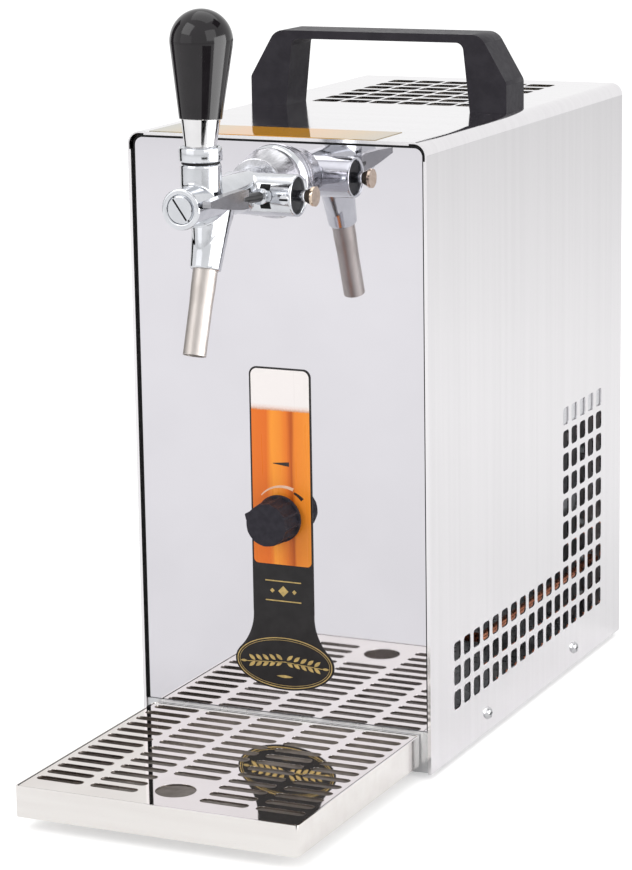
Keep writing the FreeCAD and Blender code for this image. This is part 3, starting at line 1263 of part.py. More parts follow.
def cooling_block():
    """Cast aluminium block that is chilled and cools the beer in the coil cast into it."""
    return node("cooling_block", box("cold_block", ("-block_half", "block_half"),
                                     ("block_front_y", "block_rear_y"),
                                     ("block_low_z", "block_high_z")))


def beer_outlet_pipe():
    riser = "front_y + (tap_shank_rear + foam_front) / 2"
    return node("beer_outlet_pipe", tube("outlet_pipe", "coil_radius", "tube_wall", [
        ("0", "front_y + tap_shank_rear", "tap_z"), ("0", riser, "tap_z"),
        ("0", riser, "outlet_z"), ("0", "block_front_y", "outlet_z")]))


def beer_inlet_pipe():
    return node("beer_inlet_pipe", tube("inlet_pipe", "coil_radius", "tube_wall", [
        ("beer_x", "block_rear_y", "beer_z"),
        ("beer_x", "fitting_inner_y", "beer_z")]))


def compressor():
    """Hermetic compressor: a domed steel can on a foot plate."""
    at = ("compressor_x", "front_y + compressor_y", "edge_z + compressor_lift")
    can = turned("compressor_can", [
        ("0", "0"), ("compressor_radius", "0"),
        ("compressor_radius", "compressor_height - compressor_dome"),
        ("0", "compressor_height", "(compressor_radius ^ 2 + compressor_dome ^ 2)"
         " / (2 * compressor_dome)", -1)], at)
    plate = box("compressor_plate", around("compressor_x", "compressor_foot"),
                around("front_y + compressor_y", "compressor_foot"),
                ("edge_z + compressor_lift", "edge_z + compressor_lift + foot_plate"))
    return node("compressor", fuse("compressor_solid", can, plate))


def compressor_mounts():
    """Rubber grommets between the foot plate and the base pan."""
    floor = "pan_z + pan_gauge"
    return node("compressor_mounts", group("mount_set", [
        rod("compressor_mount", "mount_radius",
            ("compressor_x + %s * (compressor_foot - mount_inset)" % side_x,
             "front_y + compressor_y + %s * (compressor_foot - mount_inset)" % side_y, floor), "z",
            "edge_z + compressor_lift - (%s)" % floor)
        for side_x in SIDES for side_y in SIDES]))


def condenser():
    """Tubes along X through a stack of thin upright fins."""
    fins = box("condenser_fin", ("-condenser_half", "-condenser_half + fin_gauge"),
               ("condenser_front_y", "condenser_rear_y"),
               ("edge_z + condenser_low", "edge_z + condenser_high"))
    stack = [fins]
    for i in range(1, count("fin_count")):
        x = "-condenser_half + %d * (2 * condenser_half - fin_gauge) / (fin_count - 1)" % i
        stack.append(box("condenser_fin", (x, x + " + fin_gauge"),
                         ("condenser_front_y", "condenser_rear_y"),
                         ("edge_z + condenser_low", "edge_z + condenser_high")))
    tubes = [rod("condenser_tube", "tube_radius",
                 ("-condenser_half - condenser_bend", "condenser_y", condenser_tube_z(i)), "x",
                 "2 * (condenser_half + condenser_bend)")
             for i in range(count("tube_rows"))]
    return node("condenser", fuse("condenser_core", *(stack + tubes)))


def condenser_tube_z(row):
    return ("edge_z + condenser_low + (%d + 0.5) * (condenser_high - condenser_low) / tube_rows"
            % row)


def fan_shroud():
    """Plate in front of the condenser with a round duct and a strap that carries the motor."""
    back = "condenser_front_y - seat_gap"
    plate_front = back + " - shroud_gauge"
    plate = box("shroud_plate", ("-condenser_half", "condenser_half"), (plate_front, back),
                ("edge_z + condenser_low", "edge_z + condenser_high"))
    duct = rod("shroud_duct", "fan_radius + fan_clear + shroud_gauge",
               ("0", "shroud_front_y", "fan_axis_z"), "y", "shroud_depth - seat_gap")
    hole = rod("shroud_hole", "fan_radius + fan_clear", ("0", "shroud_front_y - overrun", "fan_axis_z"),
               "y", "shroud_depth + 2 * overrun")
    z = around("fan_axis_z", "arm_half")
    legs = [box("strap_leg", inward(side, "strap_half", "arm_gauge"),
                ("motor_front_y - arm_gauge", plate_front), z)
            for side in SIDES]
    strap = box("strap_bar", ("-strap_half", "strap_half"),
                ("motor_front_y - arm_gauge", "motor_front_y"), z)
    return node("fan_shroud", fuse("shroud_with_strap",
                                   cut("shroud_ring", fuse("shroud_solid", plate, duct), hole),
                                   strap, *legs))


def fan_motor():
    at = ("0", "motor_front_y", "fan_axis_z")
    bore = rod("motor_bore", "fan_shaft + rod_gap", ("0", "motor_rear_y - motor_bore", "fan_axis_z"),
               "y", "motor_bore + overrun")
    return node("fan_motor", cut("motor_bored",
                                 rod("motor_can", "motor_radius", at, "y", "motor_length"), bore))


def fan_blade():
    """Six pitched blades on a hub, with the shaft that runs in the motor."""
    hub = rod("fan_hub", "fan_hub", ("0", "0", "0"), "z", "fan_depth")
    shaft_length = "motor_gap + motor_bore - seat_gap"
    shaft = rod("fan_spindle", "fan_shaft", ("0", "0", "-(%s)" % shaft_length), "z",
                shaft_length + " + overrun")
    blades = []
    for i in range(count("fan_blades")):
        turn = Rotation(Vector(0, 0, 1), i * 360.0 / count("fan_blades")).multiply(
            Rotation(Vector(1, 0, 0), SIZES["Cooling unit"]["blade_pitch"]))
        outline = rounded(("-blade_width / 2", "blade_width / 2"),
                          ("-blade_gauge / 2", "blade_gauge / 2"), "0", "0")
        blades.append(padded("fan_vane", "YZ", [outline], "fan_radius - fan_hub + 2 * overrun",
                             ("0", "0", "fan_depth / 2"), "fan_hub - 2 * overrun", turn))
    return node("fan_blade", place(fuse("fan_wheel", hub, shaft, *blades),
                                   ("0", "fan_front_y", "fan_axis_z"), TURNS["y"]))


def filter_dryer():
    return node("filter_dryer", rod("dryer_can", "dryer_radius",
                                    ("pipe_x", "dryer_front_y", "dryer_height"), "y",
                                    "dryer_length"))


def refrigerant_pipes():
    """Four copper runs: hot gas, liquid before and after the dryer, and the cold return."""
    compressor_mid = "front_y + compressor_y"
    hot_z = condenser_tube_z(1)
    hot = [("compressor_x + compressor_radius", compressor_mid, hot_z),
           ("-1 * pipe_x", compressor_mid, hot_z), ("-1 * pipe_x", "condenser_y", hot_z),
           ("condenser_half + condenser_bend", "condenser_y", hot_z)]
    low_z = condenser_tube_z(0)
    liquid = [("-condenser_half - condenser_bend", "condenser_y", low_z),
              ("pipe_x", "condenser_y", low_z), ("pipe_x", "condenser_y", "dryer_height"),
              ("pipe_x", "dryer_front_y + dryer_length", "dryer_height")]
    feed = [("pipe_x", "dryer_front_y", "dryer_height"), ("pipe_x", "liquid_y", "dryer_height"),
            ("pipe_x", "liquid_y", "liquid_z"), ("-block_half", "liquid_y", "liquid_z")]
    cold = [("-block_half", compressor_mid, "suction_z"), ("pipe_x", compressor_mid, "suction_z"),
            ("pipe_x", compressor_mid, "return_z"),
            ("compressor_x - compressor_radius", compressor_mid, "return_z")]
    return node("refrigerant_pipes", group("pipe_set", [
        run_of_pipe(name, "pipe_radius", points)
        for name, points in (("hot_pipe", hot), ("liquid_pipe", liquid), ("feed_pipe", feed),
                             ("cold_pipe", cold))]))


# ---- air pump and rear fittings ------------------------------------------------------------

def air_pump():
    """Small diaphragm pump on four feet, with a barb on top for its hose."""
    base = "shelf_high_z + pump_feet"
    case = box("pump_case", around("pump_x", "pump_half"),
               ("pump_front_y", "pump_rear_y"), (base, base + " + pump_height"))
    feet = [rod("pump_foot", "pump_foot_radius",
                ("pump_x + %s * (pump_half - pump_foot_inset)" % side, y, "shelf_high_z"), "z",
                "pump_feet + overrun")
            for side in SIDES
            for y in ("pump_front_y + pump_foot_inset", "pump_rear_y - pump_foot_inset")]
    barb = rod("pump_barb", "hose_radius - hose_wall - fit_gap", ("air_x", "pump_mid_y", base), "z",
               "pump_height + barb_length")
    return node("air_pump", fuse("pump_solid", case, barb, *feet))


def air_hose():
    top = "shelf_high_z + pump_feet + pump_height"
    hose = tube("hose", "hose_radius", "hose_wall", [
        ("air_x", "pump_mid_y", top), ("air_x", "pump_mid_y", "air_z"),
        ("air_x", "fitting_inner_y", "air_z")])
    return node("air_hose", hose)


def push_fitting(name, x, z, tube_radius):
    """Push-in tube fitting through the rear plate, with a hexagon outside it."""
    at = (x, "rear_plate_y", z)
    sleeve = "%s + collet_wall + collet_gap" % tube_radius
    outside = "rear_inset + fitting_outer"
    parts = [hexagon(name + "_hex", "fitting_across", at, "y", "fitting_hex"),
             rod(name + "_nose", sleeve + " + fitting_wall", at, "y", outside),
             rod(name + "_shank", "fitting_shank", (x, "fitting_inner_y", z), "y",
                 "rear_gauge + fitting_inner + overrun"),
             hexagon(name + "_nut", "fitting_across",
                     (x, "rear_plate_y - rear_gauge - fitting_hex", z), "y", "fitting_hex")]
    bores = [rod(name + "_bore", "coil_radius - tube_wall", (x, "fitting_inner_y - overrun", z), "y",
                 "fitting_inner + %s + 2 * overrun" % outside),
             rod(name + "_sleeve", sleeve, (x, "rear_y + fitting_outer - collet_depth", z), "y",
                 "collet_depth + overrun")]
    return cut(name, fuse(name + "_solid", *parts), *bores)


def collet(name, x, z, tube_radius):
    """Release ring that is pressed in to let the tube go."""
    outside = "%s + collet_wall" % tube_radius
    length = "collet_depth - collet_travel - seat_gap + collet_stand + collet_head"
    return turned(name, [
        (tube_radius, "0"), (outside, "0"), (outside, length + " - collet_head"),
        (outside + " + collet_lip", length + " - collet_head"), (outside + " + collet_lip", length),
        (tube_radius, length)],
        (x, "rear_y + rear_reach - (%s)" % length, z), "y")


def air_outlet_fitting():
    return node("air_outlet_fitting", push_fitting("air_fitting", "air_x", "air_z",
                                                   "air_tube"))


def outlet_collet():
    return node("outlet_collet", collet("air_collet", "air_x", "air_z", "air_tube"))


def beer_inlet_fitting():
    return node("beer_inlet_fitting", push_fitting("beer_fitting", "beer_x", "beer_z",
                                                   "beer_tube"))


def inlet_collet():
    return node("inlet_collet", collet("beer_collet", "beer_x", "beer_z", "beer_tube"))


def power_inlet():
    """Three-pin mains inlet with a flange on the rear plate."""
    z = "inlet_z"
    flange = box("inlet_flange", around("inlet_x", "inlet_flange_x"),
                 ("rear_plate_y", "rear_plate_y + inlet_flange"), around(z, "inlet_flange_z"))
    case = box("inlet_case", around("inlet_x", "inlet_half_x"),
               ("rear_plate_y - inlet_depth", "rear_plate_y + inlet_flange"),
               around(z, "inlet_half_z"))
    cavity = box("inlet_cavity", around("inlet_x", "inlet_half_x - inlet_wall"),
                 ("rear_plate_y + inlet_flange - inlet_socket", "rear_plate_y + 2 * inlet_flange"),
                 around(z, "inlet_half_z - inlet_wall"))
    pins = [box("inlet_pin", around("inlet_x + %d * pin_spacing" % column, "pin_half_x"),
                ("rear_plate_y + inlet_flange - inlet_socket - overrun", "rear_plate_y"),
                around(z + " + %d * pin_offset" % (1 - 2 * abs(column)), "pin_half_z"))
            for column in (-1, 0, 1)]
    return node("power_inlet", fuse("inlet_with_pins",
                                    cut("inlet_shell", fuse("inlet_solid", flange, case), cavity),
                                    *pins))


def switch_bezel(x):
    z = "switch_z"
    flange = box("bezel_flange", around(x, "switch_half_x + bezel_wall"),
                 ("rear_plate_y", "rear_plate_y + bezel_rise"),
                 around(z, "switch_half_z + bezel_wall"))
    case = box("bezel_case", around(x, "switch_half_x"),
               ("rear_plate_y - switch_depth", "rear_plate_y + bezel_rise"),
               around(z, "switch_half_z"))
    cavity = box("bezel_cavity", around(x, "rocker_half_x + rocker_gap"),
                 ("rear_plate_y - rocker_room", "rear_plate_y + 2 * bezel_rise"),
                 around(z, "rocker_half_z + rocker_gap"))
    return cut("bezel", fuse("bezel_solid", flange, case), cavity)


def switch_bezels():
    return node("switch_bezels", group("bezel_set", [switch_bezel(x) for x in switch_places()]))


def rocker(name, x):
    """Rocker button that rests pressed at its lower end."""
    outline = [("-rocker_depth", "-rocker_foot"), ("rocker_rise", "-rocker_tip"),
               ("rocker_peak", "0"), ("rocker_rise", "rocker_tip"), ("-rocker_depth", "rocker_foot")]
    body = padded(name, "YZ", [outline], "2 * rocker_half_x", offset="-rocker_half_x")
    return place(body, (x, "rear_plate_y + rocker_pivot", "switch_z"),
                 Rotation(Vector(1, 0, 0), SIZES["Air pump and rear fittings"]["rocker_tilt"]))


def cooling_rocker():
    return node("cooling_rocker", rocker("left_rocker", switch_places()[0]))


def pump_rocker():
    return node("pump_rocker", rocker("right_rocker", switch_places()[1]))


PIECES = (
    outer_casing, front_panel, panel_gasket, front_label, top_label, base_pan, rubber_feet,
    casing_screws, rear_panel, carry_handle,
    tap_shank, tap_flange, shank_washer, shank_nut, coupling_nut, tap_body, spout_nozzle,
    plug_screw, collar_seal, collar_nut, tap_lever, handle_ferrule, handle_grip, valve_piston,
    valve_seal,
    compensator_spindle, compensator_lever, compensator_bush, compensator_cone,
    thermostat_knob, thermostat_shaft, thermostat_body, thermostat_nut,
    drip_tray, drip_grille, tray_pads,
    inner_shelf, block_insulation, insulation_lid, cooling_block, beer_outlet_pipe,
    beer_inlet_pipe, compressor, compressor_mounts, condenser, fan_shroud, fan_motor, fan_blade,
    filter_dryer, refrigerant_pipes,
    air_pump, air_hose, air_outlet_fitting, outlet_collet, beer_inlet_fitting, inlet_collet,
    power_inlet, switch_bezels, cooling_rocker, pump_rocker,
)


def check(label, piece):
    """Stops the build at a piece that is empty, broken or not made of closed solids."""
    shape = piece.Shape
    if shape.isNull() or not shape.isValid() or not shape.Solids:
        raise RuntimeError("bad shape: " + label)
    if len(shape.Solids) != max(1, len(getattr(piece, "Links", []))):
        raise RuntimeError("%s has %d solids" % (label, len(shape.Solids)))


fill_sheet()
for piece in PIECES:
    piece()
doc.recompute()
failed = [item.Label for item in doc.Objects if {"Invalid", "Error"} & set(item.State)]
if failed:
    raise RuntimeError("failed objects: " + ", ".join(failed))
for label, piece in nodes:
    check(label, piece)
os.makedirs("parts", exist_ok=True)
for label, piece in nodes:
    piece.Shape.exportStep("parts/%s.step" % label)
print("%d pieces written" % len(nodes))
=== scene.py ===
import math

import bmesh
import bpy
from bpy.props import FloatProperty, FloatVectorProperty, PointerProperty
from bpy.types import Operator, Panel, PropertyGroup
from mathutils import Matrix, Vector


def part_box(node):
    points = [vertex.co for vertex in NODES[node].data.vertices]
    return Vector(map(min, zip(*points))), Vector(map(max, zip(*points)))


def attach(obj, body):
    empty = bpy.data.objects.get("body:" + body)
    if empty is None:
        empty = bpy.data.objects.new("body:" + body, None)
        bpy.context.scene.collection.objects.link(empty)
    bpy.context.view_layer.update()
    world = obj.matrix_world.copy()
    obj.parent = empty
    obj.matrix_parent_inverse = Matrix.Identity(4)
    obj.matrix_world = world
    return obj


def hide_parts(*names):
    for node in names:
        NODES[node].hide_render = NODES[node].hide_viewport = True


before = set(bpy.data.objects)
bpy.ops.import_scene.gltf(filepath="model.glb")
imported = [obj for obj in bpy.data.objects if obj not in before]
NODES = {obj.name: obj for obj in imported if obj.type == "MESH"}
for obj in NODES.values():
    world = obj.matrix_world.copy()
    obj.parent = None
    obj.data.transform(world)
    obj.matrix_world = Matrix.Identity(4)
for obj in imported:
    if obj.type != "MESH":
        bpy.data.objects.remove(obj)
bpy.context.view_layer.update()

bl_info = {
    "name": "Mini keg beer dispenser",
    "version": (1, 0, 0),
    "blender": (4, 5, 0),
    "location": "View3D > Sidebar > Keg",
    "description": "Finishes and detail pieces for a countertop mini keg beer dispenser",
    "category": "Object",
}

MM = 0.001


# ---- colours -------------------------------------------------------------------------------

def linear(channel):
    """Linear value of an 8-bit screen channel."""
    share = channel / 255
    return share / 12.92 if share <= 0.04045 else ((share + 0.055) / 1.055) ** 2.4


def paint(red, green, blue):
    return (linear(red), linear(green), linear(blue))


def colour_setting(label, note, tone):
    return FloatVectorProperty(name=label, description=note, subtype="COLOR", size=3,
                               min=0, max=1, default=tone)


def length_setting(label, note, metres):
    return FloatProperty(name=label, description=note, subtype="DISTANCE", unit="LENGTH",
                         min=0, default=metres)


# ---- finishes ------------------------------------------------------------------------------

def new_material(name):
    material = bpy.data.materials.new(name)
    material.use_nodes = True
    tree = material.node_tree
    return material, tree, tree.nodes["Principled BSDF"]


def object_place(tree, grain=(1, 1, 1)):
    """Object coordinates, stretched along the grain."""
    place = tree.nodes.new("ShaderNodeTexCoord")
    mapping = tree.nodes.new("ShaderNodeMapping")
    mapping.inputs["Scale"].default_value = grain
    tree.links.new(place.outputs["Object"], mapping.inputs["Vector"])
    return mapping.outputs["Vector"]


def noise(tree, place, fleck, detail=3.0):
    """Noise whose flecks are about that many metres wide."""
    texture = tree.nodes.new("ShaderNodeTexNoise")
    texture.inputs["Scale"].default_value = 1 / fleck
    texture.inputs["Detail"].default_value = detail
    texture.inputs["Roughness"].default_value = 0.55
    tree.links.new(place, texture.inputs["Vector"])
    return texture.outputs["Fac"]


def between(tree, factor, low, high, from_low=0.3, from_high=0.7):
    """Maps a factor to a range of numbers."""
    change = tree.nodes.new("ShaderNodeMapRange")
    for name, number in (("From Min", from_low), ("From Max", from_high), ("To Min", low), ("To Max", high)):
        change.inputs[name].default_value = number
    tree.links.new(factor, change.inputs["Value"])
    return change.outputs["Result"]


def ramp(tree, factor, stops):
    """Colour ramp through (position, tone) stops."""
    band = tree.nodes.new("ShaderNodeValToRGB")
    elements = band.color_ramp.elements
    while len(elements) < len(stops):
        elements.new(0.5)
    for element, (position, tone) in zip(elements, stops):
        element.position = position
        element.color = (*tone, 1)
    tree.links.new(factor, band.inputs["Fac"])
    return band.outputs["Color"]


def relief(tree, shader, height, depth):
    """Bump of a depth in metres."""
    bump = tree.nodes.new("ShaderNodeBump")
    bump.inputs["Strength"].default_value = 1.0
    bump.inputs["Distance"].default_value = depth
    tree.links.new(height, bump.inputs["Height"])
    tree.links.new(bump.outputs["Normal"], shader.inputs["Normal"])


# Finishes that are already mixed, by name.
mixed = {}


def finish(name, tones, rough, metal=0.0, fleck=0.01, grain=(1, 1, 1), depth=0.0, bump_fleck=0.002,
           gloss=0.5):
    """Material whose tone, roughness and relief vary between two values over the piece."""
    if name in mixed:
        return mixed[name]
    material, tree, shader = new_material(name)
    mixed[name] = material
    place = object_place(tree, grain)
    patches = noise(tree, place, fleck)
    tree.links.new(ramp(tree, patches, ((0.35, tones[0]), (0.65, tones[1]))), shader.inputs["Base Color"])
    tree.links.new(between(tree, noise(tree, place, fleck * 0.45), *rough), shader.inputs["Roughness"])
    shader.inputs["Metallic"].default_value = metal
    shader.inputs["Specular IOR Level"].default_value = gloss
    if depth:
        relief(tree, shader, noise(tree, place, bump_fleck), depth)
    return material


# Stretch of the flecks along each axis: a small number draws them out.
SHEET_GRAIN = (0.02, 1, 0.02)
UPRIGHT_GRAIN = (1, 1, 0.06)
CROSS_GRAIN = (0.08, 1, 1)
TURNED_GRAIN = (1, 0.02, 1)

FINISHES = {
    "wrapped_steel": dict(tones=(paint(229, 227, 229), paint(233, 231, 233)), rough=(0.07, 0.13),
                          metal=1.0, fleck=0.006, grain=SHEET_GRAIN, depth=0.000002, bump_fleck=0.0015),
    "mirror_steel": dict(tones=(paint(213, 211, 216), paint(217, 215, 220)), rough=(0.015, 0.035),
                         metal=1.0, fleck=0.09),
    "plain_sheet": dict(tones=(paint(200, 201, 204), paint(214, 215, 217)), rough=(0.24, 0.36),
                        metal=1.0, fleck=0.012, grain=UPRIGHT_GRAIN, depth=0.00001),
    "brushed_tray": dict(tones=(paint(229, 225, 222), paint(234, 231, 228)), rough=(0.09, 0.16),
                         metal=1.0, fleck=0.01, grain=CROSS_GRAIN, depth=0.000003),
    # The tray's inner faces: the same steel, darker as painted shade under the grille.
    "tray_inside_painted_shade": dict(tones=(paint(120, 114, 108), paint(140, 134, 128)), rough=(0.3, 0.4), metal=1.0),
    "grille_steel": dict(tones=(paint(220, 214, 210), paint(226, 221, 217)), rough=(0.02, 0.045),
                         metal=1.0, fleck=0.05),
    "zinc_plate": dict(tones=(paint(206, 199, 199), paint(220, 214, 214)), rough=(0.5, 0.65), fleck=0.012),
    "screw_heads": dict(tones=(paint(188, 188, 190), paint(206, 206, 208)), rough=(0.18, 0.3),
                        metal=1.0, fleck=0.003),
    "chrome": dict(tones=(paint(205, 207, 211), paint(215, 217, 221)), rough=(0.1, 0.15), metal=1.0,
                   fleck=0.012),
    "mirror_chrome": dict(tones=(paint(220, 219, 220), paint(228, 227, 228)), rough=(0.03, 0.05),
                          metal=1.0, fleck=0.012),
    "knurled_chrome": dict(tones=(paint(182, 182, 186), paint(200, 200, 204)), rough=(0.18, 0.28),
                           metal=1.0, fleck=0.0016, grain=TURNED_GRAIN, depth=0.00012, bump_fleck=0.0016),
    "turned_steel": dict(tones=(paint(206, 203, 200), paint(218, 216, 213)), rough=(0.12, 0.22),
                         metal=1.0, fleck=0.006),
    "nozzle_steel": dict(tones=(paint(174, 167, 162), paint(186, 180, 176)), rough=(0.38, 0.45),
                         metal=1.0, fleck=0.008, grain=(1, 1, 0.1)),
    "brass": dict(tones=(paint(206, 186, 166), paint(222, 204, 186)), rough=(0.08, 0.18), metal=1.0,
                  fleck=0.004),
    "dark_chrome": dict(tones=(paint(150, 150, 154), paint(162, 162, 166)), rough=(0.22, 0.28),
                        metal=1.0, fleck=0.02),
    "grip_gloss": dict(rough=(0.07, 0.11), fleck=0.02, gloss=0.36),
    "satin_handle": dict(tones=(paint(43, 41, 46), paint(50, 48, 53)), rough=(0.34, 0.46), fleck=0.008,
                         depth=0.00003, bump_fleck=0.0006, gloss=0.08),
    "knob_plastic": dict(tones=(paint(40, 38, 45), paint(48, 46, 53)), rough=(0.5, 0.6), fleck=0.004,
                         gloss=0.14),
    "rubber": dict(tones=(paint(14, 14, 15), paint(24, 24, 25)), rough=(0.55, 0.75), fleck=0.004,
                   depth=0.00003, bump_fleck=0.0006, gloss=0.25),
    # Dull black plastic of real parts, also laid as painted shade in the slots and recesses of the tap and
    # compensator.
    "dull_plastic_and_painted_shade": dict(tones=(paint(22, 22, 24), paint(31, 31, 33)), rough=(0.3, 0.42), fleck=0.006,
                         depth=0.00002, bump_fleck=0.0005, gloss=0.3),
    "white_nylon": dict(tones=(paint(226, 226, 222), paint(236, 236, 232)), rough=(0.3, 0.42),
                        fleck=0.006, depth=0.00002, bump_fleck=0.0008),
    "red_plastic": dict(tones=(paint(170, 24, 20), paint(190, 34, 26)), rough=(0.2, 0.3), fleck=0.005),
    "green_plastic": dict(tones=(paint(24, 128, 58), paint(34, 146, 70)), rough=(0.2, 0.3), fleck=0.005),
    "insulating_foam": dict(tones=(paint(214, 208, 186), paint(228, 222, 202)), rough=(0.8, 0.95),
                            fleck=0.006, depth=0.0003),
    "cast_alloy": dict(tones=(paint(168, 170, 172), paint(186, 188, 190)), rough=(0.4, 0.55), metal=1.0,
                       fleck=0.005, depth=0.00005),
    "thin_fins": dict(tones=(paint(176, 178, 180), paint(196, 198, 200)), rough=(0.3, 0.42), metal=1.0),
    "drawn_copper": dict(tones=(paint(184, 110, 78), paint(204, 132, 96)), rough=(0.2, 0.34), metal=1.0),
    "stoved_enamel": dict(tones=(paint(20, 20, 22), paint(28, 28, 30)), rough=(0.22, 0.34),
                          depth=0.00003, bump_fleck=0.003),
    "pump_shell": dict(tones=(paint(54, 56, 60), paint(66, 68, 72)), rough=(0.4, 0.52), fleck=0.006),
    "hose_tube": dict(tones=(paint(206, 212, 214), paint(220, 224, 226)), rough=(0.15, 0.25)),
    "label_black": dict(tones=(paint(36, 34, 35), paint(43, 41, 42)), rough=(0.16, 0.24), gloss=0.22),
    "gold_print": dict(rough=(0.3, 0.42), metal=0.3, fleck=0.003),
    "pale_print": dict(tones=(paint(232, 186, 154), paint(238, 204, 180)), rough=(0.3, 0.42), fleck=0.003),
    "dark_print": dict(tones=(paint(42, 34, 32), paint(54, 44, 40)), rough=(0.3, 0.42), fleck=0.003,
                       gloss=0.3),
}


def coloured(name, **changes):
    """Finish from the list, with changes for a tone that a user sets."""
    return finish(name, **{**FINISHES[name], **changes})


def wear(node, material):
    """Gives a CAD node its finish."""
    slots = NODES[node].data.materials
    slots.clear()
    slots.append(material)


def wear_all(material, *names):
    for name in names:
        wear(name, material)


# ---- modelled pieces -----------------------------------------------------------------------

def piece(name, mesh, material, body, *stands_for):
    """Finished piece at the origin that rides on a body and may stand for CAD nodes."""
    made = bpy.data.objects.new(name, mesh)
    bpy.context.scene.collection.objects.link(made)
    if not mesh.materials:
        mesh.materials.append(material)
    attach(made, body)
    if stands_for:
        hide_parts(*stands_for)
    return made


def mesh_from(bm, name, smooth_angle=None):
    mesh = bpy.data.meshes.new(name)
    bm.to_mesh(mesh)
    bm.free()
    if smooth_angle is not None:
        mesh.shade_smooth()
        mesh.set_sharp_from_angle(angle=smooth_angle)
    return mesh


# Area in square metres from which a face is shaded flat, the angle from which an edge counts as
# sharp, and the angle up to which faces are shaded as one.
BROAD_FACE = 0.00005
SHARP_ANGLE = math.radians(28)
SMOOTH_ANGLE = math.radians(32)


def softened(name, node, material, body, width, segments=2, zones=()):
    """Copy of a CAD node whose sharp edges are worn round and whose broad faces stay flat.

    A zone is a material and a test that is true at the middles of the faces which take it."""
    bm = bmesh.new()
    bm.from_mesh(NODES[node].data)
    bmesh.ops.remove_doubles(bm, verts=bm.verts, dist=0.00001)
    sharp = [edge for edge in bm.edges if edge.is_manifold and edge.calc_face_angle() > SHARP_ANGLE]
    bmesh.ops.bevel(bm, geom=sharp, offset=width, segments=segments, affect="EDGES", profile=0.5,
                    material=-1, clamp_overlap=True)
    for number, (_, belongs) in enumerate(zones, start=1):
        for face in bm.faces:
            if belongs(face.calc_center_median()):
                face.material_index = number
    mesh = mesh_from(bm, name, SMOOTH_ANGLE)
    for face in mesh.polygons:
        square = max(abs(part) for part in face.normal) > 0.999999
        face.use_smooth = face.area < BROAD_FACE and not square
    for zone in [material, *(tinted for tinted, _ in zones)]:
        mesh.materials.append(zone)
    return piece(name, mesh, material, body, node)


def along(direction, place):
    """Placement whose own Z axis points in a direction from a place in millimetres."""
    turn = Vector(direction).to_track_quat("Z", "X").to_matrix().to_4x4()
    return Matrix.Translation(Vector(place) * MM) @ turn


def lathe(bm, profile, matrix, steps=64):
    """Turns a profile of (radius, distance along the axis) in millimetres about an axis."""
    before = set(bm.verts)
    ring = [bm.verts.new((radius * MM, 0, distance * MM)) for radius, distance in profile]
    edges = [bm.edges.new(pair) for pair in zip(ring, ring[1:])]
    bmesh.ops.spin(bm, geom=ring + edges, cent=(0, 0, 0), axis=(0, 0, 1), angle=2 * math.pi, steps=steps,
                   use_merge=True, use_duplicate=False)
    bmesh.ops.remove_doubles(bm, verts=[vert for vert in bm.verts if vert not in before], dist=0.000001)
    made = [vert for vert in bm.verts if vert not in before]
    bmesh.ops.transform(bm, matrix=matrix, verts=made)
    bmesh.ops.recalc_face_normals(bm, faces=bm.faces)
    return made


def printed(name, outlines, y, thickness, material, body):
    """Thin print that faces -Y, made of outlines in X and Z millimetres; touching outlines join."""
    bm = bmesh.new()
    for outline in outlines:
        bm.faces.new([bm.verts.new((x * MM, y, z * MM)) for x, z in outline])
    bmesh.ops.remove_doubles(bm, verts=bm.verts, dist=0.0000001)
    grown = bmesh.ops.extrude_face_region(bm, geom=bm.faces[:])
    moved = [item for item in grown["geom"] if isinstance(item, bmesh.types.BMVert)]
    bmesh.ops.translate(bm, verts=moved, vec=(0, thickness, 0))
    bmesh.ops.recalc_face_normals(bm, faces=bm.faces)
    return piece(name, mesh_from(bm, name), material, body)


def oval_point(middle, half_width, half_height, angle):
    return (middle[0] + half_width * math.cos(angle), middle[1] + half_height * math.sin(angle))


def oval_ring(middle, half_width, half_height, line, steps=96):
    """Quads of an oval line whose outer edge is the given oval."""
    quads = []
    for step in range(steps):
        ends = [2 * math.pi * (step + more) / steps for more in (0, 1)]
        quads.append([oval_point(middle, half_width, half_height, ends[0]),
                      oval_point(middle, half_width, half_height, ends[1]),
                      oval_point(middle, half_width - line, half_height - line, ends[1]),
                      oval_point(middle, half_width - line, half_height - line, ends[0])])
    return quads


def swelling_arc(middle, inner, outer_first, outer_last, first, last, steps=24):
    """Quads of an arc that swells from one outer radius to another between two angles in degrees."""
    quads = []
    for step in range(steps):
        shares = (step / steps, (step + 1) / steps)
        angles = [math.radians(first + (last - first) * share) for share in shares]
        outers = [outer_first + (outer_last - outer_first) * share for share in shares]
        quads.append([oval_point(middle, inner, inner, angles[0]),
                      oval_point(middle, outers[0], outers[0], angles[0]),
                      oval_point(middle, outers[1], outers[1], angles[1]),
                      oval_point(middle, inner, inner, angles[1])])
    return quads


def leaf(middle, length, width, turn):
    """Pointed oval outline; turn is its direction in degrees."""
    angle = math.radians(turn)
    outline = []
    for across, distance in ((0, -0.5), (0.38, -0.25), (0.5, 0), (0.36, 0.25), (0, 0.5), (-0.36, 0.25),
                             (-0.5, 0), (-0.38, -0.25)):
        x, z = across * width, distance * length
        outline.append((middle[0] + x * math.sin(angle) + z * math.cos(angle),
                        middle[1] - x * math.cos(angle) + z * math.sin(angle)))
    return outline


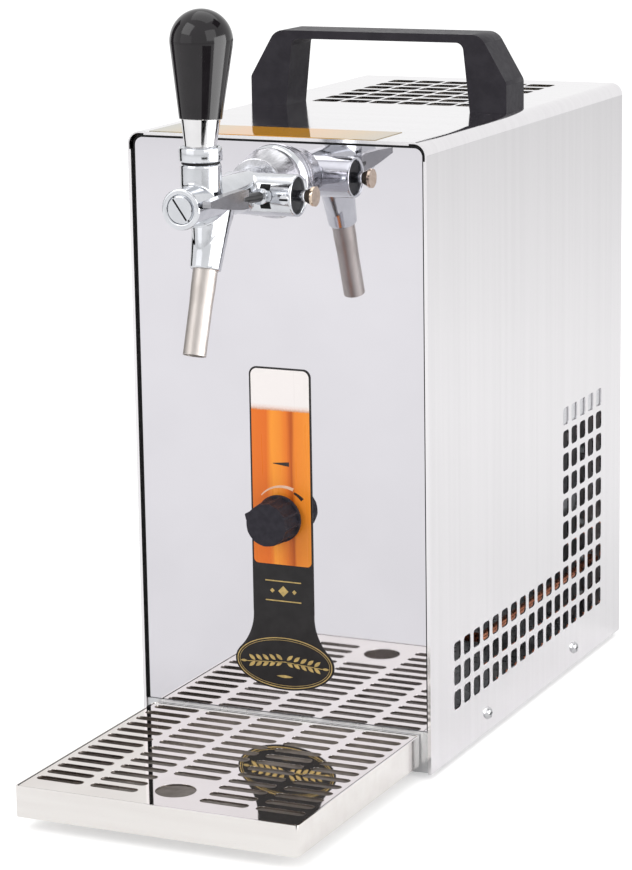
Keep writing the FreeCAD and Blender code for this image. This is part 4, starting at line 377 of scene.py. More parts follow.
def upright_plate(name, x, z, y, thickness, radii, material, body):
    """Thin plate facing -Y with rounded corners; radii run from the low left corner anticlockwise."""
    bm = bmesh.new()
    corners = [bm.verts.new((x[i], y, z[j])) for i, j in ((0, 0), (1, 0), (1, 1), (0, 1))]
    bm.faces.new(corners)
    for corner, radius in zip(corners, radii):
        if radius:
            bmesh.ops.bevel(bm, geom=[corner], offset=radius, segments=8, affect="VERTICES", profile=0.5,
                            material=-1)
    grown = bmesh.ops.extrude_face_region(bm, geom=bm.faces[:])
    moved = [item for item in grown["geom"] if isinstance(item, bmesh.types.BMVert)]
    bmesh.ops.translate(bm, verts=moved, vec=(0, thickness, 0))
    bmesh.ops.recalc_face_normals(bm, faces=bm.faces)
    return piece(name, mesh_from(bm, name), material, body)


# ---- settings ------------------------------------------------------------------------------

class KegColours(PropertyGroup):
    """Colours that a user would change."""
    amber_dark: colour_setting("Dark amber", "Darker streaks of the amber strip", paint(226, 104, 30))
    amber_light: colour_setting("Light amber", "Lighter streaks of the amber strip", paint(250, 156, 52))
    foam_tone: colour_setting("Foam", "Top of the amber strip", paint(244, 238, 236))
    grip_tone: colour_setting("Grip", "Tap handle grip", paint(33, 30, 33))
    gold_tone: colour_setting("Gold print", "Lines printed on the label", paint(196, 168, 104))


class KegSizes(PropertyGroup):
    """Sizes that a user would change."""
    print_margin: length_setting("Print margin", "Black edge left round the amber strip", 0.0011)
    print_thickness: length_setting("Print thickness", "Thickness of the printed inlay", 0.00006)
    handle_wear: length_setting("Handle edge", "Rounding of the carry handle's edges", 0.0012)


# ---- stage ---------------------------------------------------------------------------------

CAMERA_PLACE = Vector((0.783744, -1.716543, 0.604707))
CAMERA_TURN = (25.03, 12.49, -0.91)
CAMERA_LENS = 127.31

SOFTBOXES = (
    ("key_softbox", (-1.6, -2.2, 2.6), 2.2, 37),
    ("fill_softbox", (2.5, -1.3, 1.5), 2.0, 19),
    ("top_softbox", (0.0, 0.6, 2.8), 2.4, 18),
)
# Black cards that only glossy surfaces see: place, the point that it faces, width and height.
FLAGS = (
    ("foot_flag", (1.0, -1.11, 0.08), (0.0, -0.19, 0.08), 0.8, 0.16),
    ("left_flag", (-1.31, 0.11, 0.68), (0.0, -0.19, 0.68), 0.5, 1.3),
    ("upper_flag", (0.8, 0.36, 1.5), (0.0, -0.15, 0.36), 0.7, 0.5),
)
# Bright cards that only glossy surfaces see: as above, and how bright they are.
CARDS = (
    ("side_card", (1.08, 0.03, 0.36), (0.0, -0.19, 0.36), 1.1, 0.7, 5.5),
    ("front_card", (-1.4, -2.45, 0.85), (0.0, -0.1, 0.85), 2.2, 1.25, 1.45),
)


def aimed(place, target):
    return (Vector(target) - Vector(place)).to_track_quat("-Z", "Y").to_matrix().to_4x4()


def camera_matrix():
    """Placement of the camera from its azimuth, elevation and roll."""
    azimuth, elevation, roll = (math.radians(angle) for angle in CAMERA_TURN)
    back = Vector((math.sin(azimuth) * math.cos(elevation), -math.cos(azimuth) * math.cos(elevation),
                   math.sin(elevation)))
    right = Vector((0, 0, 1)).cross(back).normalized()
    up = back.cross(right)
    tilted_right = right * math.cos(roll) + up * math.sin(roll)
    tilted_up = up * math.cos(roll) - right * math.sin(roll)
    turned = Matrix((tilted_right, tilted_up, back)).transposed()
    return Matrix.Translation(CAMERA_PLACE) @ turned.to_4x4()


def ray(tree, *kinds):
    """1 for the named kinds of ray, 0 for the others."""
    path = tree.nodes.new("ShaderNodeLightPath")
    total = path.outputs[kinds[0]]
    for other in kinds[1:]:
        more = tree.nodes.new("ShaderNodeMath")
        more.operation = "MAXIMUM"
        tree.links.new(total, more.inputs[0])
        tree.links.new(path.outputs[other], more.inputs[1])
        total = more.outputs[0]
    return total


SEEN = ("Is Camera Ray", "Is Glossy Ray", "Is Transmission Ray")


def light_world():
    """White surroundings, softer where they light the object than where they are seen."""
    world = bpy.data.worlds.new("studio")
    world.use_nodes = True
    tree = world.node_tree
    soft = tree.nodes["Background"]
    soft.inputs["Color"].default_value = (1, 1, 1, 1)
    soft.inputs["Strength"].default_value = 0.75
    white = tree.nodes.new("ShaderNodeBackground")
    white.inputs["Color"].default_value = (1, 1, 1, 1)
    white.inputs["Strength"].default_value = 1.0
    mix = tree.nodes.new("ShaderNodeMixShader")
    tree.links.new(ray(tree, *SEEN), mix.inputs["Fac"])
    tree.links.new(soft.outputs[0], mix.inputs[1])
    tree.links.new(white.outputs[0], mix.inputs[2])
    tree.links.new(mix.outputs[0], tree.nodes["World Output"].inputs["Surface"])
    bpy.context.scene.world = world


# Glow of the floor near the object and far from it, as the camera and as mirrors see it, and the
# two distances.
FLOOR_GLOW = (0.45, 0.5)
MIRRORED_GLOW = (0.1, 0.13)
FLOOR_REACH = (0.3, 1.3)


def floor_material():
    """Pale floor that meets the white background and keeps the object's shadow."""
    material, tree, shader = new_material("pale_floor")
    place = object_place(tree)
    tone = ramp(tree, noise(tree, place, 0.4), ((0.3, (0.80, 0.80, 0.80)), (0.7, (0.82, 0.82, 0.82))))
    tree.links.new(tone, shader.inputs["Base Color"])
    shader.inputs["Roughness"].default_value = 0.9
    shader.inputs["Specular IOR Level"].default_value = 0.0
    distance = tree.nodes.new("ShaderNodeVectorMath")
    distance.operation = "LENGTH"
    tree.links.new(place, distance.inputs[0])
    levels = tree.nodes.new("ShaderNodeMix")
    tree.links.new(ray(tree, "Is Glossy Ray"), levels.inputs["Factor"])
    for side, (near, far) in (("A", FLOOR_GLOW), ("B", MIRRORED_GLOW)):
        tree.links.new(between(tree, distance.outputs["Value"], near, far, *FLOOR_REACH), levels.inputs[side])
    glow = tree.nodes.new("ShaderNodeEmission")
    tree.links.new(levels.outputs["Result"], glow.inputs["Strength"])
    both = tree.nodes.new("ShaderNodeAddShader")
    mix = tree.nodes.new("ShaderNodeMixShader")
    tree.links.new(shader.outputs[0], both.inputs[0])
    tree.links.new(glow.outputs[0], both.inputs[1])
    tree.links.new(ray(tree, *SEEN), mix.inputs["Fac"])
    tree.links.new(shader.outputs[0], mix.inputs[1])
    tree.links.new(both.outputs[0], mix.inputs[2])
    tree.links.new(mix.outputs[0], tree.nodes["Material Output"].inputs["Surface"])
    return material


def lay_floor():
    bm = bmesh.new()
    bmesh.ops.create_circle(bm, cap_ends=True, segments=64, radius=7)
    floor = bpy.data.objects.new("floor", mesh_from(bm, "floor"))
    floor.data.materials.append(floor_material())
    bpy.context.scene.collection.objects.link(floor)


def hang_flag(name, place, target, width, height, glow=0.0):
    """Card that only metal and gloss reflect, black unless it glows."""
    bm = bmesh.new()
    bmesh.ops.create_grid(bm, x_segments=1, y_segments=1, size=0.5)
    bmesh.ops.scale(bm, vec=(width, height, 1), verts=bm.verts)
    bmesh.ops.transform(bm, matrix=Matrix.Translation(place) @ aimed(place, target), verts=bm.verts)
    flag = bpy.data.objects.new(name, mesh_from(bm, name))
    material, tree, shader = new_material(name)
    shader.inputs["Roughness"].default_value = 1.0
    shader.inputs["Specular IOR Level"].default_value = 0.0
    flecks = noise(tree, object_place(tree), 0.2)
    blacks = ramp(tree, flecks, ((0.3, (0.0, 0.0, 0.0)), (0.7, (0.004, 0.004, 0.004))))
    tree.links.new(blacks, shader.inputs["Base Color"])
    shader.inputs["Emission Color"].default_value = (1, 1, 1, 1)
    shader.inputs["Emission Strength"].default_value = glow
    flag.data.materials.append(material)
    flag.visible_camera = False
    flag.visible_diffuse = False
    flag.visible_transmission = False
    flag.visible_shadow = False
    bpy.context.scene.collection.objects.link(flag)


def hang_softbox(name, place, width, power):
    light = bpy.data.lights.new(name, "AREA")
    light.size = width
    light.energy = power
    lamp = bpy.data.objects.new(name, light)
    lamp.matrix_world = Matrix.Translation(place) @ aimed(place, (0, 0, 0.2))
    bpy.context.scene.collection.objects.link(lamp)


class KEG_OT_stage(Operator):
    """Sets up the camera, the pale floor and the studio lights"""
    bl_idname = "keg.stage"
    bl_label = "Stage"

    def execute(self, context):
        scene = context.scene
        scene.view_settings.view_transform = "Standard"
        lens = bpy.data.cameras.new("camera")
        lens.lens = CAMERA_LENS
        lens.sensor_width = 36
        lens.clip_end = 50
        camera = bpy.data.objects.new("camera", lens)
        camera.matrix_world = camera_matrix()
        scene.collection.objects.link(camera)
        scene.camera = camera
        light_world()
        lay_floor()
        for softbox in SOFTBOXES:
            hang_softbox(*softbox)
        for flag in FLAGS:
            hang_flag(*flag)
        for card in CARDS:
            hang_flag(*card)
        return {"FINISHED"}


# ---- pieces --------------------------------------------------------------------------------

class KEG_OT_casing(Operator):
    """Finishes the wrapped casing, its base, its rear plate and its screws"""
    bl_idname = "keg.casing"
    bl_label = "Casing"

    def execute(self, context):
        wear("outer_casing", coloured("wrapped_steel"))
        wear_all(coloured("plain_sheet"), "base_pan", "inner_shelf", "fan_shroud")
        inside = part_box("rear_panel")[0].y + 0.2 * MM
        softened("rear_plate", "rear_panel", coloured("plain_sheet"), "casing", 0.0001, 1,
                 ((coloured("zinc_plate"), lambda place: place.y < inside),))
        wear("casing_screws", coloured("screw_heads"))
        return {"FINISHED"}


class KEG_OT_front_panel(Operator):
    """Finishes the polished front panel and the gasket round it"""
    bl_idname = "keg.front_panel"
    bl_label = "Front panel"

    def execute(self, context):
        wear("front_panel", coloured("mirror_steel"))
        wear_all(coloured("rubber"), "panel_gasket", "rubber_feet", "tray_pads", "compressor_mounts",
                 "collar_seal", "valve_seal")
        return {"FINISHED"}


# Tones across the amber print from left to right: position, how light, and a darker streak.
AMBER_BANDS = ((0.0, 0.25), (0.27, 0.12), (0.36, 1.0), (0.5, 0.72), (0.6, 0.3), (0.69, -0.35),
               (0.74, 0.55), (1.0, 0.85))


def amber_print(colours, half, foam_line):
    """Printed glass of beer: streaked amber under pale foam."""
    material, tree, shader = new_material("amber_print")
    apart = tree.nodes.new("ShaderNodeSeparateXYZ")
    tree.links.new(object_place(tree), apart.inputs[0])
    streaks = noise(tree, object_place(tree, (1, 1, 0.05)), 0.004, 2.0)
    wavering = tree.nodes.new("ShaderNodeMath")
    wavering.operation = "MULTIPLY_ADD"
    wavering.inputs[1].default_value = 0.004
    tree.links.new(streaks, wavering.inputs[0])
    tree.links.new(apart.outputs["X"], wavering.inputs[2])
    dark, light = Vector(colours.amber_dark), Vector(colours.amber_light)
    bands = [(position, tuple(dark.lerp(light, share) if share >= 0 else dark * (1 + share)))
             for position, share in AMBER_BANDS]
    amber = ramp(tree, between(tree, wavering.outputs[0], 0, 1, 0.002 - half, half + 0.002), bands)
    frayed = tree.nodes.new("ShaderNodeMath")
    frayed.operation = "MULTIPLY_ADD"
    frayed.inputs[1].default_value = 0.0016
    tree.links.new(noise(tree, object_place(tree), 0.0012), frayed.inputs[0])
    tree.links.new(apart.outputs["Z"], frayed.inputs[2])
    height = between(tree, frayed.outputs[0], 0, 1, foam_line - 0.0042, foam_line + 0.0058)
    foam = ramp(tree, height, ((0.42, paint(208, 150, 112)), (0.6, paint(236, 216, 208)),
                               (0.8, tuple(colours.foam_tone))))
    mask = ramp(tree, height, ((0.38, (0, 0, 0)), (0.46, (1, 1, 1))))
    mix = tree.nodes.new("ShaderNodeMix")
    mix.data_type = "RGBA"
    tree.links.new(mask, mix.inputs["Factor"])
    tree.links.new(amber, mix.inputs["A"])
    tree.links.new(foam, mix.inputs["B"])
    tree.links.new(mix.outputs["Result"], shader.inputs["Base Color"])
    tree.links.new(between(tree, streaks, 0.25, 0.35), shader.inputs["Roughness"])
    shader.inputs["Specular IOR Level"].default_value = 0.3
    return material


def amber_film(low, high):
    """Clear amber film that pales towards both of its ends."""
    material, tree, shader = new_material("tinted_film")
    place = object_place(tree)
    apart = tree.nodes.new("ShaderNodeSeparateXYZ")
    tree.links.new(place, apart.inputs[0])
    across = between(tree, apart.outputs["X"], 0, 1, low, high)
    tone = ramp(tree, across, ((0.0, paint(148, 146, 128)), (0.2, paint(180, 152, 84)),
                               (0.36, paint(206, 142, 24)), (0.62, paint(206, 144, 28)),
                               (0.85, paint(184, 146, 68)), (1.0, paint(160, 144, 112))))
    tree.links.new(tone, shader.inputs["Base Color"])
    tree.links.new(between(tree, noise(tree, place, 0.01), 0.02, 0.05), shader.inputs["Roughness"])
    return material


# Middles of the dial and of the oval, and the oval's half width and height, in millimetres.
DIAL = (0, 154)
OVAL = (0, 62)
OVAL_HALF = (33.25, 17.25)
# Scale round the dial: inner radius, outer radius at either end, and the angles of its ends.
PALE_SCALE = (18.2, 18.8, 20.2, 137, 66)
DARK_SCALE = (17.0, 18.3, 19.4, 62, 40)
# Wedge over the dial.
DIAL_WEDGE = ((-5.4, 186.9), (5.4, 185.6), (5.4, 188.4), (-5.4, 187.3))
# Half width of the label's neck, foot of the amber print and line of its foam, in metres.
LABEL_HALF = 0.0204
PRINT_FOOT = 0.1241
FOAM_LINE = 0.2205
PRINT_CORNERS = (0.003, 0.003, 0.0042, 0.0042)


def gold_ornaments():
    """Two oval lines, a barley sprig inside them, and a diamond between two lines on the neck."""
    shapes = oval_ring(OVAL, OVAL_HALF[0] - 1.2, OVAL_HALF[1] - 1.2, 0.55)
    shapes += oval_ring(OVAL, OVAL_HALF[0] - 2.7, OVAL_HALF[1] - 2.7, 0.25)
    for side in (-1, 1):
        for number in range(5):
            place = (side * (3.6 + 4.6 * number), OVAL[1] + 1.4 - 0.5 * number)
            for lift in (-1, 1):
                shapes.append(leaf((place[0], place[1] + lift * 2.1), 5.4, 2.3,
                                   90 - side * 90 + side * lift * 38))
        tip = side * 27.6
        shapes.append(leaf((tip, OVAL[1] - 1.1), 4.6, 1.6, 0))
        shapes.append([(0, OVAL[1] + 0.9), (0, OVAL[1] + 0.4), (side * 25.4, OVAL[1] - 1.4),
                       (side * 25.4, OVAL[1] - 1.0)])
    shapes.append(leaf((0, OVAL[1] - 8.6), 11, 1.8, 0))
    for height in (101.2, 113.6):
        shapes.append([(-12, height - 0.35), (12, height - 0.35), (12, height + 0.35), (-12, height + 0.35)])
    for x, reach in ((-7.4, 1.5), (0, 3.4), (7.4, 1.5)):
        shapes.append([(x - reach, 107.4), (x, 107.4 - reach), (x + reach, 107.4), (x, 107.4 + reach)])
    return shapes


class KEG_OT_labels(Operator):
    """Prints the front label and finishes the strip on top"""
    bl_idname = "keg.labels"
    bl_label = "Labels"

    def execute(self, context):
        sizes = context.scene.keg_sizes
        low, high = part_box("front_label")
        wear("front_label", coloured("label_black"))
        strip_low, strip_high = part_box("top_label")
        wear("top_label", amber_film(strip_low.x, strip_high.x))
        half = LABEL_HALF - sizes.print_margin
        face = low.y - sizes.print_thickness
        upright_plate("label_print", (-half, half), (PRINT_FOOT, high.z - sizes.print_margin),
                      face, sizes.print_thickness, PRINT_CORNERS,
                      amber_print(context.scene.keg_colours, half, FOAM_LINE), "casing")
        thin = sizes.print_thickness / 2
        printed("pale_scale", swelling_arc(DIAL, *PALE_SCALE), face - thin, thin, coloured("pale_print"),
                "casing")
        printed("dark_scale", [*swelling_arc(DIAL, *DARK_SCALE), DIAL_WEDGE], face - thin, thin,
                coloured("dark_print"), "casing")
        gold = Vector(context.scene.keg_colours.gold_tone)
        printed("gold_lines", gold_ornaments(), face, sizes.print_thickness,
                coloured("gold_print", tones=(tuple(gold * 0.8), tuple(gold * 1.15))), "casing")
        return {"FINISHED"}


class KEG_OT_carry_handle(Operator):
    """Models the moulded carry handle"""
    bl_idname = "keg.carry_handle"
    bl_label = "Carry handle"

    def execute(self, context):
        softened("moulded_handle", "carry_handle", coloured("satin_handle"), "casing",
                 context.scene.keg_sizes.handle_wear, 3)
        return {"FINISHED"}


# Places and profiles of the tap in millimetres; a profile is (radius, distance along its axis).
TAP_AXIS = (0, 0, 358.5)
SPINDLE_AXIS = (0, -128.6, 356.7)
SPOUT_TOP = (0, -169.432, 358.5)
NECK_FOOT = (0, -185.2, 358.5)
SPOUT_TILT = math.radians(161)
FLARE_DEPTH = 1.36
BARREL_PROFILE = ((0, 107), (9.9, 107), (9.9, 116.6), (11.8, 116.6), (11.8, 210.9), (11.2, 211.7),
                  (8.6, 211.7), (8.2, 211.3), (8.2, 209.2), (0, 209.2))
HOUSING_PROFILE = ((0, -12.5), (11.3, -12.5), (12.3, -11.5), (12.3, 33.7), (11.8, 34.2), (11.3, 34.2),
                   (10.4, 33.1), (10.4, 28), (0, 28))
NECK_PROFILE = ((0, 0), (11.7, 0), (11.7, 21.9), (11.1, 22.5), (10.2, 22.5), (10.2, 27), (0, 27))
HOOD_PROFILE = ((0, 3), (11.7, 4), (10.9, 15), (9.7, 30), (8.95, 40.2), (8.5, 40.7), (7.2, 40.7), (7.2, 37),
                (0, 37))
FLARE_PROFILE = ((0, 5), (11.4, 6), (10.6, 12), (9.5, 19), (8.2, 26), (6.8, 33), (0, 34))
PLUG_PROFILE = ((0, 205), (8.15, 205), (8.15, 210.2), (7.5, 210.2), (7.5, 212.3), (7.2, 212.5), (0, 212.5))
GRUB_PROFILE = ((0, -3), (3.1, -3), (3.1, 0.5), (2.7, 0.9), (0, 0.9))


def cast_tap():
    """Barrel, housing, neck and hood melted into one casting with soft fillets."""
    bm = bmesh.new()
    lathe(bm, BARREL_PROFILE, along((0, -1, 0), TAP_AXIS))
    lathe(bm, HOUSING_PROFILE, along((1, 0, 0), SPINDLE_AXIS))
    lathe(bm, NECK_PROFILE, along((0, 0, 1), NECK_FOOT))
    spout = Matrix.Translation(Vector(SPOUT_TOP) * MM) @ Matrix.Rotation(SPOUT_TILT, 4, "X")
    lathe(bm, HOOD_PROFILE, spout)
    lathe(bm, FLARE_PROFILE, spout @ Matrix.Diagonal((1, FLARE_DEPTH, 1, 1)))
    mesh = mesh_from(bm, "cast_tap_body")
    mesh.shade_smooth()
    body = piece("cast_tap_body", mesh, coloured("chrome"), "casing", "tap_body")
    melt = body.modifiers.new("melt", "REMESH")
    melt.mode = "VOXEL"
    melt.voxel_size = 0.5 * MM
    melt.use_smooth_shade = True
    soften = body.modifiers.new("soften", "SMOOTH")
    soften.factor = 0.5
    soften.iterations = 7


def sawn_disc(name, profile, matrix, slot, turn, depth, material, dark, body, *stands_for):
    """Turned disc with a saw slot across its face, whose walls and floor take the dark finish as painted
    shade.
    """
    bm = bmesh.new()
    lathe(bm, profile, Matrix.Identity(4))
    top = max(distance for _, distance in profile) * MM
    across = Vector((math.cos(math.radians(turn)), math.sin(math.radians(turn)), 0))
    for side in (-1, 1):
        bmesh.ops.bisect_plane(bm, geom=bm.verts[:] + bm.edges[:] + bm.faces[:], plane_no=across,
                               plane_co=across * (side * slot * MM / 2))

    def in_slot(face):
        return abs(face.calc_center_median().dot(across)) < slot * MM / 2 and face.normal.z > 0.9

    floor = [face for face in bm.faces if in_slot(face) and face.calc_center_median().z > top - 0.05 * MM]
    sunk = bmesh.ops.extrude_face_region(bm, geom=floor)
    bmesh.ops.delete(bm, geom=floor, context="FACES_ONLY")
    moved = [item for item in sunk["geom"] if isinstance(item, bmesh.types.BMVert)]
    bmesh.ops.translate(bm, verts=moved, vec=(0, 0, -depth * MM))
    # The slot's walls and floor take the dark finish: painted shade in the slot.
    for face in bm.faces:
        if in_slot(face) and face.calc_center_median().z < top - 0.1 * depth * MM:
            face.material_index = 1
    bmesh.ops.transform(bm, matrix=matrix, verts=bm.verts)
    bmesh.ops.recalc_face_normals(bm, faces=bm.faces)
    mesh = mesh_from(bm, name, math.radians(30))
    mesh.materials.append(material)
    mesh.materials.append(dark)
    return piece(name, mesh, material, body, *stands_for)


def curved_patch(name, radius, angles, x, material, body):
    """Thin patch on the housing's round front between two angles and two places across; laid dark, it is
    painted shade standing for a slot.
    """
    bm = bmesh.new()
    rows = []
    for step in range(17):
        angle = math.radians(angles[0] + (angles[1] - angles[0]) * step / 16)
        y = SPINDLE_AXIS[1] - radius * math.cos(angle)
        z = SPINDLE_AXIS[2] + radius * math.sin(angle)
        rows.append([bm.verts.new((place * MM, y * MM, z * MM)) for place in x])
    for low, high in zip(rows, rows[1:]):
        bm.faces.new((low[0], low[1], high[1], high[0]))
    bmesh.ops.solidify(bm, geom=bm.faces[:], thickness=-0.12 * MM)
    bmesh.ops.recalc_face_normals(bm, faces=bm.faces)
    return piece(name, mesh_from(bm, name, math.radians(30)), material, body)


# Grub screw of the housing: its place across in millimetres, and how far it points down.
GRUB_PLACE = 30.2
GRUB_DIP = math.radians(4)
HOUSING_RADIUS = 12.3


class KEG_OT_tap(Operator):
    """Models the chromed casting of the tap and finishes its nuts and its spout"""
    bl_idname = "keg.tap"
    bl_label = "Tap"

    def execute(self, context):
        cast_tap()
        shadow = coloured("dull_plastic_and_painted_shade")
        sawn_disc("plug_face", PLUG_PROFILE, along((0, -1, 0), TAP_AXIS), 1.1, -55, 1.4, coloured("chrome"),
                  shadow, "casing", "plug_screw")
        way = Vector((0, -math.cos(GRUB_DIP), -math.sin(GRUB_DIP)))
        foot = Vector((GRUB_PLACE, *SPINDLE_AXIS[1:])) + way * HOUSING_RADIUS
        sawn_disc("housing_grub_screw", GRUB_PROFILE, along(way, foot), 1.3, 0, 0.8, coloured("chrome"),
                  shadow, "casing")
        # A dark patch on the housing stands for the compensator lever's slot: painted shade, not a cut.
        curved_patch("lever_slot_painted_shade", 12.36, (-34, 37), (14.4, 20.9), shadow, "casing")
        softened("ribbed_coupling_nut", "coupling_nut", coloured("knurled_chrome"), "casing", 0.0005, 2)
        softened("rounded_flange", "tap_flange", coloured("chrome"), "casing", 0.0005, 2)
        softened("rounded_collar", "collar_nut", coloured("chrome"), "casing", 0.0007, 3)
        wear("spout_nozzle", coloured("nozzle_steel"))
        wear_all(coloured("turned_steel"), "tap_shank", "shank_washer", "shank_nut", "valve_piston",
                 "tap_lever")
        return {"FINISHED"}


class KEG_OT_tap_handle(Operator):
    """Finishes the tap handle's grip and ferrule"""
    bl_idname = "keg.tap_handle"
    bl_label = "Tap handle"

    def execute(self, context):
        tone = Vector(context.scene.keg_colours.grip_tone)
        wear("handle_grip", coloured("grip_gloss", tones=(tuple(tone * 0.7), tuple(tone))))
        wear("handle_ferrule", coloured("mirror_chrome"))
        return {"FINISHED"}


LEVER_RISE = math.radians(3.8)
LEVER_WAY = Vector((0, -math.cos(LEVER_RISE), math.sin(LEVER_RISE)))
# Reaches along the lever in millimetres where its hub and its neck end, and the places across in
# metres where the spindle's neck and its collar end.
HUB_END, NECK_END = 20.2, 37.9
SPINDLE_NECK_END, SPINDLE_COLLAR_END = 0.0332, 0.0390


def lever_reach(place):
    """Distance of a point along the compensator lever, in millimetres."""
    return (place - Vector((18, *SPINDLE_AXIS[1:])) * MM).dot(LEVER_WAY) / MM


class KEG_OT_compensator(Operator):
    """Models the compensator's paddle and its flared button"""
    bl_idname = "keg.compensator"
    bl_label = "Compensator"

    def execute(self, context):
        shadow = coloured("dull_plastic_and_painted_shade")
        softened("compensator_paddle", "compensator_lever", coloured("dark_chrome"), "spindle", 0.0008, 2,
                 ((coloured("chrome"), lambda place: lever_reach(place) < HUB_END),
                  (shadow, lambda place: HUB_END <= lever_reach(place) < NECK_END)))
        softened("compensator_button", "compensator_spindle", coloured("brass"), "spindle", 0.0005, 3,
                 ((shadow, lambda place: place.x < SPINDLE_NECK_END),
                  (coloured("chrome"), lambda place: SPINDLE_NECK_END <= place.x < SPINDLE_COLLAR_END)))
        wear("compensator_bush", shadow)
        wear("compensator_cone", coloured("white_nylon"))
        return {"FINISHED"}


# Knob stations from its foot to its face: distance from the foot, radius and depth of the flutes.
# Then its place, its turn in degrees, its flutes, half a flute's share of their pitch, and its pointer.
KNOB_STATIONS = ((0, 14.3, 0), (0.25, 14.6, 0), (1.35, 14.6, 0), (1.6, 14.35, 0), (1.9, 14.28, 1.7),
                 (6, 14.02, 1.6), (12, 13.64, 1.3), (17.4, 13.3, 0.8), (18.7, 13.16, 0.2), (19, 12.9, 0))
KNOB_FOOT = (0, -92.2, 154)
KNOB_TURN = 157
KNOB_FLUTES = 12
FLUTE_SHARE = 0.38
POINTER_FOOT, POINTER_LENGTH = 1.6, 17.35
POINTER = ((0, -3), (12.9, -3), (15, -0.25), (15, 0.25), (12.9, 3), (0, 3))


def flute_depth(angle, depth):
    """Depth of the flutes at an angle in degrees from the pointer, which takes the place of one."""
    number = round(angle * KNOB_FLUTES / 360)
    if number % KNOB_FLUTES == 0:
        return 0
    share = abs(angle * KNOB_FLUTES / 360 - number) / FLUTE_SHARE
    return depth * math.sqrt(max(1 - share * share, 0))


def carve_knob(bm):
    """Fluted body with a smooth face, and a pointer on its side."""
    turned = [(radius, distance) for distance, radius, _ in KNOB_STATIONS]
    lathe(bm, [(0, 0), *turned, (0, turned[-1][1])], Matrix(), 144)
    depths = {distance: depth for distance, _, depth in KNOB_STATIONS}
    for vert in bm.verts:
        reach = vert.co.xy.length
        if reach > 0.001:
            angle = math.degrees(math.atan2(vert.co.y, vert.co.x))
            depth = flute_depth(angle, depths[round(vert.co.z / MM, 2)]) * MM
            vert.co.xy *= 1 - depth / reach
    foot = bm.faces.new([bm.verts.new((x * MM, y * MM, POINTER_FOOT * MM)) for x, y in POINTER])
    grown = bmesh.ops.extrude_face_region(bm, geom=[foot])
    tip = [item for item in grown["geom"] if isinstance(item, bmesh.types.BMVert)]
    bmesh.ops.translate(bm, verts=tip, vec=(0, 0, POINTER_LENGTH * MM))
    bmesh.ops.recalc_face_normals(bm, faces=bm.faces)


class KEG_OT_thermostat(Operator):
    """Models the thermostat's fluted knob and finishes what is behind it"""
    bl_idname = "keg.thermostat"
    bl_label = "Thermostat"

    def execute(self, context):
        bm = bmesh.new()
        carve_knob(bm)
        facing = Matrix.Translation(Vector(KNOB_FOOT) * MM) @ Matrix.Rotation(math.pi / 2, 4, "X")
        spin = Matrix.Rotation(math.radians(KNOB_TURN), 4, "Z")
        bmesh.ops.transform(bm, matrix=facing @ spin, verts=bm.verts)
        piece("fluted_knob", mesh_from(bm, "fluted_knob", SMOOTH_ANGLE), coloured("knob_plastic"), "knob",
              "thermostat_knob")
        wear("thermostat_body", coloured("dull_plastic_and_painted_shade"))
        wear_all(coloured("turned_steel"), "thermostat_nut", "thermostat_shaft")
        return {"FINISHED"}


class KEG_OT_drip_tray(Operator):
    """Finishes the drip tray and its slotted grille"""
    bl_idname = "keg.drip_tray"
    bl_label = "Drip tray"

    def execute(self, context):
        low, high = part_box("drip_tray")
        wall = 1.5 * MM

        # Inner faces of the tray, which take the darker finish as painted shade under the grille.
        def inside(place):
            return (place.z > low.z + 0.6 * MM and low.x + wall < place.x < high.x - wall
                    and low.y + wall < place.y < high.y - wall)

        softened("rounded_tray", "drip_tray", coloured("brushed_tray"), "tray", 0.0003, 2,
                 ((coloured("tray_inside_painted_shade"), inside),))
        softened("rounded_grille", "drip_grille", coloured("grille_steel"), "grille", 0.0003, 2)
        return {"FINISHED"}


class KEG_OT_rear_fittings(Operator):
    """Finishes the push-in fittings, the power inlet and the switches on the back"""
    bl_idname = "keg.rear_fittings"
    bl_label = "Rear fittings"

    def execute(self, context):
        wear_all(coloured("white_nylon"), "air_outlet_fitting", "beer_inlet_fitting")
        wear_all(coloured("dull_plastic_and_painted_shade"), "inlet_collet", "outlet_collet", "power_inlet",
                 "switch_bezels")
        wear("cooling_rocker", coloured("green_plastic"))
        wear("pump_rocker", coloured("red_plastic"))
        return {"FINISHED"}


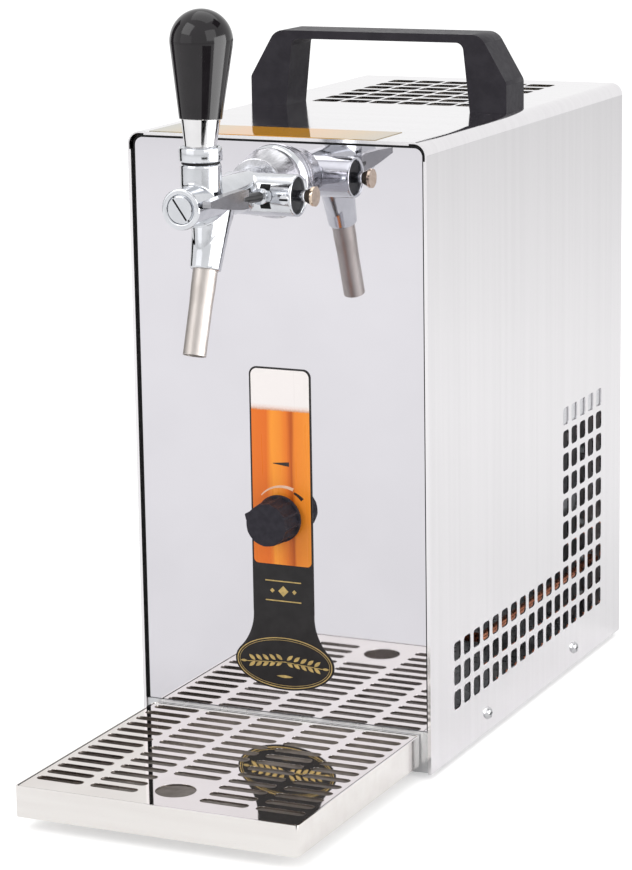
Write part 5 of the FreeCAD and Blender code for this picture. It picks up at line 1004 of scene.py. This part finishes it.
class KEG_OT_cooling_unit(Operator):
    """Finishes the cooling unit inside the casing"""
    bl_idname = "keg.cooling_unit"
    bl_label = "Cooling unit"

    def execute(self, context):
        wear_all(coloured("insulating_foam"), "block_insulation", "insulation_lid")
        wear("cooling_block", coloured("cast_alloy"))
        wear_all(coloured("turned_steel"), "beer_outlet_pipe", "beer_inlet_pipe")
        wear_all(coloured("stoved_enamel"), "compressor", "fan_motor")
        wear("fan_blade", coloured("satin_handle"))
        wear("condenser", coloured("thin_fins"))
        wear_all(coloured("drawn_copper"), "filter_dryer", "refrigerant_pipes")
        wear("air_pump", coloured("pump_shell"))
        wear("air_hose", coloured("hose_tube"))
        return {"FINISHED"}


class KEG_PT_pieces(Panel):
    """Lists the operators of the dispenser's pieces"""
    bl_label = "Mini keg dispenser"
    bl_space_type = "VIEW_3D"
    bl_region_type = "UI"
    bl_category = "Keg"

    def draw(self, context):
        for settings in (context.scene.keg_colours, context.scene.keg_sizes):
            for name in settings.__annotations__:
                self.layout.prop(settings, name)
        for maker in MAKERS:
            self.layout.operator(maker.bl_idname)


MAKERS = (KEG_OT_stage, KEG_OT_casing, KEG_OT_front_panel, KEG_OT_labels, KEG_OT_carry_handle, KEG_OT_tap,
          KEG_OT_tap_handle, KEG_OT_compensator, KEG_OT_thermostat, KEG_OT_drip_tray, KEG_OT_rear_fittings,
          KEG_OT_cooling_unit)
CLASSES = (KegColours, KegSizes, *MAKERS, KEG_PT_pieces)


def register():
    for kind in CLASSES:
        bpy.utils.register_class(kind)
    bpy.types.Scene.keg_colours = PointerProperty(type=KegColours)
    bpy.types.Scene.keg_sizes = PointerProperty(type=KegSizes)


def unregister():
    del bpy.types.Scene.keg_sizes
    del bpy.types.Scene.keg_colours
    for kind in reversed(CLASSES):
        bpy.utils.unregister_class(kind)


def main():
    """Makes the whole dispenser."""
    register()
    for maker in MAKERS:
        group, name = maker.bl_idname.split(".")
        getattr(getattr(bpy.ops, group), name)()


if __name__ == "__main__":
    main()
